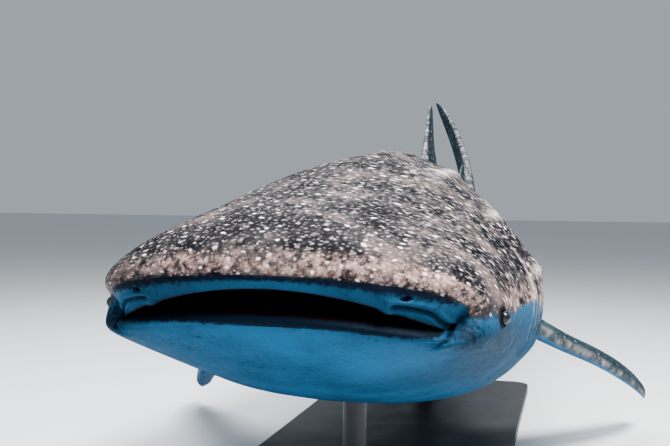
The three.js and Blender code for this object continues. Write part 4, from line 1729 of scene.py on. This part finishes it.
def new_material(name: str) -> tuple[bpy.types.Material, Nodes, bpy.types.Node]:
    """Makes a material.

    Args:
        name: Its name.

    Returns:
        The material, a way to add nodes to it and its shader.
    """
    material = bpy.data.materials.new(name)
    material.use_nodes = True
    return material, Nodes(material.node_tree), material.node_tree.nodes["Principled BSDF"]


class Group(Enum):
    """The shader node groups, with each one's inputs. An input without a number is a vector."""

    SPOTS = {"Map": None, "Unevenness": 0.6, "Radius": 0.24, "Softness": 0.1}
    GRAIN = {"Place": None, "Fine Scale": 400.0, "Broad Scale": 30.0, "Broad Share": 0.5}

    def start(self, *outputs: str) -> tuple[Nodes, dict[str, Socket], bpy.types.Node]:
        """Makes the group's tree with its sockets.

        Args:
            outputs: The names of its number outputs.

        Returns:
            A way to add nodes to it, its inputs by name and its output node.
        """
        tree = bpy.data.node_groups.new(self.name.lower(), "ShaderNodeTree")
        for label, value in self.value.items():
            kind = "NodeSocketVector" if value is None else "NodeSocketFloat"
            socket = tree.interface.new_socket(label, in_out="INPUT", socket_type=kind)
            if value is not None:
                socket.default_value = value
        for label in outputs:
            tree.interface.new_socket(label, in_out="OUTPUT", socket_type="NodeSocketFloat")
        n = Nodes(tree)
        return n, dict(n.add("NodeGroupInput").outputs.items()), n.add("NodeGroupOutput")


def spots_group() -> bpy.types.NodeTree:
    """Round spots in uneven rows over a pattern map, each with a soft edge and its own strength.

    Returns:
        The group's tree.
    """
    warp_noise, warp_reach, sizes, contrast, faintest = Noise(0.55, 2), 1.1, (0.45, 1.35), 2.1, 0.14
    n, given, out = Group.SPOTS.start("Mask", "Strength")
    warp = n.vector("SUBTRACT", warp_noise.node(n, given["Map"]).outputs["Color"], (0.5, 0.5, 0.5))
    moved = n.vector("ADD", given["Map"], n.scaled(warp, warp_reach))
    cells = n.feed(
        n.add("ShaderNodeTexVoronoi", voronoi_dimensions="2D", feature="F1"),
        Vector=moved, Scale=1.0, Randomness=given["Unevenness"],
    )
    first, second, _ = n.parts(cells.outputs["Color"])
    size = n.times(given["Radius"], n.span(first, 0, 1, *sizes))
    fall = n.math("SUBTRACT", n.math("ADD", size, given["Softness"]), cells.outputs["Distance"])
    strength = n.math("ADD", n.math("POWER", second, contrast), faintest, clamp=True)
    n.feed(out, Mask=n.math("DIVIDE", fall, given["Softness"], clamp=True), Strength=strength)
    return n.tree


def grain_group() -> bpy.types.NodeTree:
    """Fine grain over Object coordinates, for skin and for paint.

    Returns:
        The group's tree.
    """
    n, given, out = Group.GRAIN.start("Height", "Broad")
    fine = Noise(given["Fine Scale"], 2).build(n, given["Place"])
    broad = Noise(given["Broad Scale"], 5).build(n, given["Place"])
    n.feed(out, Height=n.math("ADD", fine, n.times(broad, given["Broad Share"])), Broad=broad)
    return n.tree


@dataclass(frozen=True)
class Spots:
    """How one layer of spots is spread: the map's scale, and the spots' sizes in the map's units."""

    scale: float
    unevenness: float
    radius: float
    softness: float

    def build(self, n: Nodes, pattern: Socket, tree: bpy.types.NodeTree) -> Socket:
        """Makes the layer.

        Args:
            n: The material's nodes.
            pattern: The pattern map.
            tree: The spots' node group.

        Returns:
            The layer's mask, with each spot at its own strength.
        """
        sizes = {"Unevenness": self.unevenness, "Radius": self.radius, "Softness": self.softness}
        spots = n.group(tree, Map=n.scaled(pattern, self.scale), **sizes)
        return n.times(spots.outputs["Mask"], spots.outputs["Strength"])


@dataclass(frozen=True)
class Grain:
    """How one finish uses the grain: its scales, and the strength and depth of its relief."""

    fine: float
    broad: float
    share: float
    strength: float
    depth: float

    def build(self, n: Nodes, place: Socket, tree: bpy.types.NodeTree, shader: bpy.types.Node) -> Socket:
        """Gives a shader its fine relief.

        Args:
            n: The material's nodes.
            place: The place on the piece.
            tree: The grain's node group.
            shader: The material's shader.

        Returns:
            The grain's broad unevenness.
        """
        scales = {"Fine_Scale": self.fine, "Broad_Scale": self.broad, "Broad_Share": self.share}
        node = n.group(tree, Place=place, **scales)
        bump = n.feed(n.add("ShaderNodeBump"), Strength=self.strength, Distance=self.depth)
        n.feed(bump, Height=node.outputs["Height"])
        n.feed(shader, Normal=bump.outputs[0])
        return node.outputs["Broad"]


@dataclass(frozen=True)
class SkinFinish:
    """The shark's skin: dark slate above with mottling and pale spots, and below a white belly painted a mid
    blue, which is painted blue light and shade; shade is also painted into its creases, slits, holes, mouth
    and lips.
    """

    name: str = "shark_skin"
    slate: Triple = (0.007, 0.0085, 0.0135)
    cloud: Triple = (0.074, 0.07, 0.076)
    tan: Triple = (0.15, 0.12, 0.116)
    spot: Triple = (0.97, 0.87, 0.84)
    spot_strength: float = 1.0
    rim: Triple = (0.64, 0.455, 0.41)
    # The white belly painted a mid blue: painted blue light and shade on the underside.
    pale: Triple = (0.05, 0.175, 0.32)
    # Navy for painted shade on the lower lip and under the brow, and for the skin's own dark flecks at the
    # mouth's corners and on the belly.
    navy_shade_and_flecks: Triple = (0.006, 0.013, 0.03)
    # The mouth's reddish lining, darkened to near black as painted shade inside the mouth.
    lining: Triple = (0.03, 0.008, 0.007)
    # Near black for painted shade in the slits, folds and holes and on the cheeks, the upper lip's face and
    # the dark back's edge.
    painted_shade: Triple = (0.006, 0.009, 0.014)
    edge_noise: Noise = Noise(16, 5, 0.62)
    cloud_noise: Noise = Noise(4.6, 5, 0.6)
    patch_noise: Noise = Noise(26, 5, 0.7)
    rim_noise: Noise = Noise(30, 6, 0.75)
    line_noise: Noise = Noise(14, 5, 0.65)
    belly_noise: Noise = Noise(2.6, 6, 0.6)
    fleck_noise: Noise = Noise(60, 3, 0.6)
    big_spots: Spots = Spots(1.0, 0.75, 0.095, 0.11)
    small_spots: Spots = Spots(2.3, 0.95, 0.1, 0.24)
    small_strength: float = 0.4
    cloud_weights: Pair = (1.9, 1.4)
    cloud_span: Pair = (1.4, 1.98)
    tan_span: Pair = (0.5, 0.66)
    back_fray: float = 1.3
    lip_fray: float = 1.1
    rim_share: float = 0.68
    rim_shade: float = 0.42
    rim_spots: float = 0.7
    line_share: float = 0.8
    belly_line_share: float = 0.28
    belly_shade: float = 0.66
    grain: Grain = Grain(420.0, 38.0, 1.6, 0.35, 0.004)
    shine: float = 0.12

    def build(self, spots: bpy.types.NodeTree, grain: bpy.types.NodeTree) -> bpy.types.Material:
        """Builds the material.

        Args:
            spots: The spots' node group.
            grain: The grain's node group.

        Returns:
            The skin's material.
        """
        material, n, shader = new_material(self.name)
        place = n.object_place()
        dark, rim, line = n.channels("tone")
        inside, lip, slit = n.channels("mark")
        line = n.times(line, n.span(self.line_noise.build(n, place), 0.4, 0.6, 0.2, 1.0))
        flecks = self.fleck_noise.build(n, place)
        back = self.back(n, place, self.spots(n, spots), rim, line)
        ragged = n.frayed(dark, self.edge_noise.build(n, place), self.back_fray)
        above = n.times(n.span(ragged, 0.36, 0.66), n.span(dark, 0.02, 0.2))
        colour = n.blend(above, self.belly(n, place, flecks, line), back)
        lip = n.times(n.span(n.frayed(lip, flecks, self.lip_fray), 0.22, 0.82), n.span(lip, 0.02, 0.3))
        # Painted shade: the lip mask darkens the lower lip under the upper jaw and a line under the brow (its
        # corner flecks are the skin's own), the slit mask darkens slits, folds, holes, cheeks, the lip's face
        # and the back's edge, and the inside mask darkens the mouth's lining.
        shades = (lip, 0.95, self.navy_shade_and_flecks), (slit, 0.93, self.painted_shade), (inside, 1.0, self.lining)
        for mask, share, shade in shades:
            colour = n.blend(n.times(mask, share), colour, tint(shade))
        broad = self.grain.build(n, place, grain, shader)
        n.feed(shader, Base_Color=colour, Roughness=n.span(broad, 0.3, 0.7, 0.5, 0.68))
        n.feed(shader, Specular_IOR_Level=self.shine)
        return material

    def spots(self, n: Nodes, tree: bpy.types.NodeTree) -> Socket:
        """Big spots with small faint ones between them.

        Args:
            n: The material's nodes.
            tree: The spots' node group.

        Returns:
            The mask of all spots.
        """
        pattern = n.add("ShaderNodeUVMap", uv_map="pattern").outputs[0]
        big, small = (layer.build(n, pattern, tree) for layer in (self.big_spots, self.small_spots))
        return n.times(n.math("MAXIMUM", big, n.times(small, self.small_strength)), self.spot_strength)

    def back(self, n: Nodes, place: Socket, spots: Socket, rim: Socket, line: Socket) -> Socket:
        """The colour above: clouded slate with spots, the blotched rim and the pale lines, which on the
        ridges are partly a painted highlight.

        Args:
            n: The material's nodes.
            place: The place on the piece.
            spots: The spots' mask.
            rim: The rim's mask.
            line: The lines' mask.

        Returns:
            The colour.
        """
        clouds = self.cloud_noise.build(n, place)
        broad, fine = self.cloud_weights
        patches = n.times(self.patch_noise.build(n, place), fine)
        uneven = n.math("ADD", n.times(clouds, broad), patches)
        cloud = n.blend(n.span(clouds, *self.tan_span), tint(self.cloud), tint(self.tan))
        colour = n.blend(n.span(uneven, *self.cloud_span), tint(self.slate), cloud)
        colour = n.blend(spots, colour, tint(self.spot))
        blotches = self.rim_noise.build(n, place)
        rim = n.span(n.times(rim, n.span(blotches, 0.36, 0.62, 0.35, 1.15)), 0.12, 0.95)
        rim_colour = n.blend(n.span(blotches, 0.4, 0.68), tint(self.rim, self.rim_shade), tint(self.rim))
        colour = n.blend(n.times(rim, self.rim_share), colour, rim_colour)
        colour = n.blend(n.times(spots, n.times(rim, self.rim_spots)), colour, tint(self.spot))
        return n.blend(n.times(line, self.line_share), colour, tint(self.spot))

    def belly(self, n: Nodes, place: Socket, flecks: Socket, line: Socket) -> Socket:
        """The colour below: the white belly painted a mid blue as painted blue light and shade, with soft
        clouds and dark flecks.

        Args:
            n: The material's nodes.
            place: The place on the piece.
            flecks: The flecks' noise.
            line: The lines' mask.

        Returns:
            The colour.
        """
        clouds = self.belly_noise.build(n, place)
        colour = n.blend(n.span(clouds, 0.34, 0.66), tint(self.pale), tint(self.pale, self.belly_shade))
        mask = n.times(n.span(flecks, 0.56, 0.7), n.span(clouds, 0.42, 0.62, 0.12, 0.6))
        colour = n.blend(mask, colour, tint(self.navy_shade_and_flecks))
        return n.blend(n.times(line, self.belly_line_share), colour, tint(self.spot))


@dataclass(frozen=True)
class EyeFinish:
    """A glossy eye: black pupil, dull grey iris and a dark outer ring, by the angle off the gaze."""

    pupil: Triple = (0.016, 0.02, 0.024)
    iris: Triple = (0.016, 0.02, 0.02)
    ring: Triple = (0.004, 0.005, 0.006)
    pupil_edge: Pair = (0.23, 0.27)
    iris_edge: Pair = (0.46, 0.56)
    streak_noise: Noise = Noise(300, 3)

    def build(self) -> bpy.types.Material:
        """Builds the material.

        Returns:
            The eye's material.
        """
        material, n, shader = new_material("shark_eye")
        off = n.add("ShaderNodeAttribute", attribute_name="off_axis").outputs["Fac"]
        streaks = n.span(self.streak_noise.build(n, n.object_place()), 0.35, 0.65)
        iris = n.blend(streaks, tint(self.iris), tint(self.iris, 2.2))
        colour = n.blend(n.span(off, *self.pupil_edge), tint(self.pupil), iris)
        colour = n.blend(n.span(off, *self.iris_edge), colour, tint(self.ring))
        n.feed(shader, Base_Color=colour, Roughness=0.3, Coat_Weight=0.35, Coat_Roughness=0.08)
        return material


@dataclass(frozen=True)
class PaintFinish:
    """Satin paint on the stand's metal, with grain and a little wear in its sheen."""

    name: str
    paint: Triple
    rough: float
    metal: float = 0.0
    grain: Grain = Grain(900.0, 6.0, 0.8, 0.15, 0.0015)

    def build(self, grain: bpy.types.NodeTree) -> bpy.types.Material:
        """Builds the material.

        Args:
            grain: The grain's node group.

        Returns:
            The paint's material.
        """
        material, n, shader = new_material(self.name)
        broad = self.grain.build(n, n.object_place(), grain, shader)
        colour = n.blend(n.span(broad, 0.3, 0.7), tint(self.paint), tint(self.paint, 1.35))
        rough = n.span(broad, 0.25, 0.75, self.rough - 0.07, self.rough + 0.09)
        n.feed(shader, Base_Color=colour, Roughness=rough, Metallic=self.metal)
        return material


@dataclass
class Stand:
    """The flat base and two rods, with the cap screws that hold each rod's foot."""

    foot_height: float = 0.02
    screws_per_foot: int = 8
    screw_circle: float = 0.088
    screw_radius: float = 0.009
    screw_height: float = 0.008
    screw_sides: int = 20

    def dress(self, nodes: dict[str, bpy.types.Object], paints: dict[str, bpy.types.Material]) -> None:
        """Gives the stand's own nodes their paint.

        Args:
            nodes: The part's objects by node.
            paints: The paint of each of the stand's nodes.
        """
        for name, paint in paints.items():
            nodes[name].data.materials.clear()
            nodes[name].data.materials.append(paint)

    def screw_tree(self, steel: bpy.types.Material) -> bpy.types.NodeTree:
        """The geometry tree that sets cap screws round one foot.

        Args:
            steel: The screws' material.

        Returns:
            The tree, with its sizes as inputs.
        """
        tree = bpy.data.node_groups.new("foot_screws", "GeometryNodeTree")
        inputs = {"Geometry": "Geometry", "Count": "Int", "Circle": "Float", "Radius": "Float"}
        inputs |= {"Height": "Float", "Centre": "Vector"}
        for label, kind in inputs.items():
            tree.interface.new_socket(label, in_out="INPUT", socket_type="NodeSocket" + kind)
        tree.interface.new_socket("Geometry", in_out="OUTPUT", socket_type="NodeSocketGeometry")
        kinds = ["MeshCircle", "MeshCylinder", "InstanceOnPoints", "Transform"]
        kinds += ["RealizeInstances", "SetMaterial"]
        circle, screw, spread, move, real, finish = (tree.nodes.new("GeometryNode" + kind) for kind in kinds)
        given, out = tree.nodes.new("NodeGroupInput"), tree.nodes.new("NodeGroupOutput")
        screw.inputs["Vertices"].default_value = self.screw_sides
        finish.inputs["Material"].default_value = steel
        for source, output, target, entry in (
            (given, "Count", circle, "Vertices"),
            (given, "Circle", circle, "Radius"),
            (given, "Radius", screw, "Radius"),
            (given, "Height", screw, "Depth"),
            (circle, "Mesh", spread, "Points"),
            (screw, "Mesh", spread, "Instance"),
            (spread, "Instances", move, "Geometry"),
            (given, "Centre", move, "Translation"),
            (move, "Geometry", real, "Geometry"),
            (real, "Geometry", finish, "Geometry"),
            (finish, "Geometry", out, "Geometry"),
        ):
            tree.links.new(source.outputs[output], target.inputs[entry])
        return tree

    def screws(self, node: str, tree: bpy.types.NodeTree, steel: bpy.types.Material) -> bpy.types.Object:
        """Makes the screws of one rod's foot as a plain mesh.

        Args:
            node: The rod's node.
            tree: The screws' geometry tree.
            steel: The screws' material.

        Returns:
            The screws' object.
        """
        low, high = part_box(node)
        level = low.z + self.foot_height + self.screw_height / 2
        holder = linked("holder", bpy.data.meshes.new("holder"))
        modifier = holder.modifiers.new("screws", "NODES")
        modifier.node_group = tree
        sizes = {
            "Count": self.screws_per_foot,
            "Circle": self.screw_circle,
            "Radius": self.screw_radius,
            "Height": self.screw_height,
            "Centre": ((low.x + high.x) / 2, (low.y + high.y) / 2, level),
        }
        for item in tree.interface.items_tree:
            if item.in_out == "INPUT" and item.name in sizes:
                modifier[item.identifier] = sizes[item.name]
        bpy.context.view_layer.update()
        graph = bpy.context.evaluated_depsgraph_get()
        mesh = bpy.data.meshes.new_from_object(holder.evaluated_get(graph))
        bpy.data.objects.remove(holder)
        return dress(linked(node + "_screws", mesh), steel, Slot.STAND)


@dataclass(frozen=True)
class Light:
    """A soft square light: where it stands, what it aims at, its side, its watts and its colour."""

    name: str
    place: Triple
    aim: Triple
    size: float
    watts: float
    colour: Triple

    def build(self) -> None:
        """Adds the light."""
        data = bpy.data.lights.new(self.name, "AREA")
        data.size, data.energy, data.color = self.size, self.watts, self.colour
        thing = linked(self.name, data)
        thing.location = self.place
        way = Vector(self.aim) - Vector(self.place)
        thing.rotation_euler = way.to_track_quat("-Z", "Y").to_euler()


@dataclass(frozen=True)
class Studio:
    """The floor, the lights and the camera, with its angles in degrees."""

    focal_px: float = 964.5
    frame_px: float = 670.0
    sensor_mm: float = 36.0
    yaw: float = 13.94
    pitch: float = 1.47
    roll: float = 0.57
    eye: Triple = (0.9525, -5.5625, 1.3626)
    floor_half: float = 60.0
    floor_level: float = -0.0005
    floor_colour: Triple = (0.72, 0.74, 0.76)
    surround: Triple = (0.74, 0.8, 0.86)
    surround_strength: float = 0.42
    lights: tuple[Light, ...] = (
        Light("key", (3.4, -3.6, 7.0), (0, -0.8, 1), 2.2, 950, (1, 0.96, 0.92)),
        Light("top", (-1.2, 1.2, 7.5), (0, 0.6, 1), 6.0, 520, (1, 1, 1)),
        Light("fill", (-4.5, -4.5, 2.6), (0, -0.8, 1), 4.0, 40, (0.86, 0.93, 1)),
    )

    def build(self) -> None:
        """Sets the camera and makes the floor, the lights and the pale surrounding."""
        self.set_camera()
        self.make_floor()
        for light in self.lights:
            light.build()
        world = bpy.data.worlds.new("surround")
        bpy.context.scene.world = world
        world.use_nodes = True
        background = world.node_tree.nodes["Background"]
        background.inputs["Color"].default_value = tint(self.surround)
        background.inputs["Strength"].default_value = self.surround_strength
        bpy.context.scene.view_settings.look = "AgX - High Contrast"

    def set_camera(self) -> None:
        """Sets the camera at the photograph's angle."""
        y, p, r = (math.radians(v) for v in (self.yaw, self.pitch, self.roll))
        ahead = Vector((-math.sin(y) * math.cos(p), math.cos(y) * math.cos(p), -math.sin(p)))
        right = Vector((math.cos(y), math.sin(y), 0))
        up = right.cross(ahead)
        rolled = right * math.cos(r) + up * math.sin(r)
        rolled_up = up * math.cos(r) - right * math.sin(r)
        turn = Matrix((rolled, rolled_up, -ahead)).transposed()
        data = bpy.data.cameras.new("camera")
        data.sensor_width = self.sensor_mm
        data.lens = self.focal_px / self.frame_px * self.sensor_mm
        data.clip_end = 200
        thing = linked("camera", data)
        thing.matrix_world = Matrix.Translation(self.eye) @ turn.to_4x4()
        bpy.context.scene.camera = thing

    def make_floor(self) -> None:
        """Makes a plain pale floor."""
        corners = np.array([[-1, -1], [1, -1], [1, 1], [-1, 1]]) * self.floor_half
        points = np.column_stack([corners, np.full(4, self.floor_level)])
        thing = make_object("floor", points, np.array([[0, 1, 2, 3]]), smooth_faces=False)
        material, n, shader = new_material("floor")
        n.feed(shader, Base_Color=tint(self.floor_colour), Roughness=0.8)
        thing.data.materials.append(material)


def main() -> None:
    """Builds the shark, its stand and the studio, and reports each piece."""
    logging.basicConfig(level=logging.INFO, format="%(name)s: %(message)s")
    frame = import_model()
    Studio().build()

    spots, grain = spots_group(), grain_group()
    skin = SkinFinish().build(spots, grain)
    upright = SkinFinish(
        "fin_skin", (0.014, 0.031, 0.045), (0.03, 0.057, 0.075), (0.04, 0.068, 0.086), spot_strength=0.3
    ).build(spots, grain)
    paddle = SkinFinish(
        "paddle_skin", (0.016, 0.038, 0.052), (0.036, 0.068, 0.086), (0.05, 0.085, 0.1), spot_strength=0.22
    ).build(spots, grain)
    form = BodyForm()
    pieces = [Skin(form).make(skin)]
    pieces += [Fin(form, plan).make(upright) for plan in FIN_PLANS]
    plans = [plan(side) for side in Side for plan in (pectoral_plan, pelvic_plan)]
    pieces += [Fin(form, plan).make(paddle) for plan in plans]
    pieces += [TailLobe(form, plan).make(upright) for plan in LOBE_PLANS]
    eye = EyeFinish().build()
    pieces += [Eye(form, side).make(eye) for side in Side]

    stand, rods = Stand(), ("stand_rod_front", "stand_rod_rear")
    base_paint = PaintFinish("base_paint", (0.055, 0.058, 0.064), 0.42).build(grain)
    rod_paint = PaintFinish("rod_paint", (0.075, 0.078, 0.084), 0.34).build(grain)
    stand.dress(frame["nodes"], {"stand_base": base_paint, **dict.fromkeys(rods, rod_paint)})
    steel = PaintFinish("screw_steel", (0.5, 0.5, 0.52), 0.32, 1.0).build(grain)
    tree = stand.screw_tree(steel)
    pieces += [stand.screws(rod, tree, steel) for rod in rods]
    for piece in pieces:
        log.info("%s: %d faces", piece.name, len(piece.data.polygons))


if __name__ == "__main__":
    main()
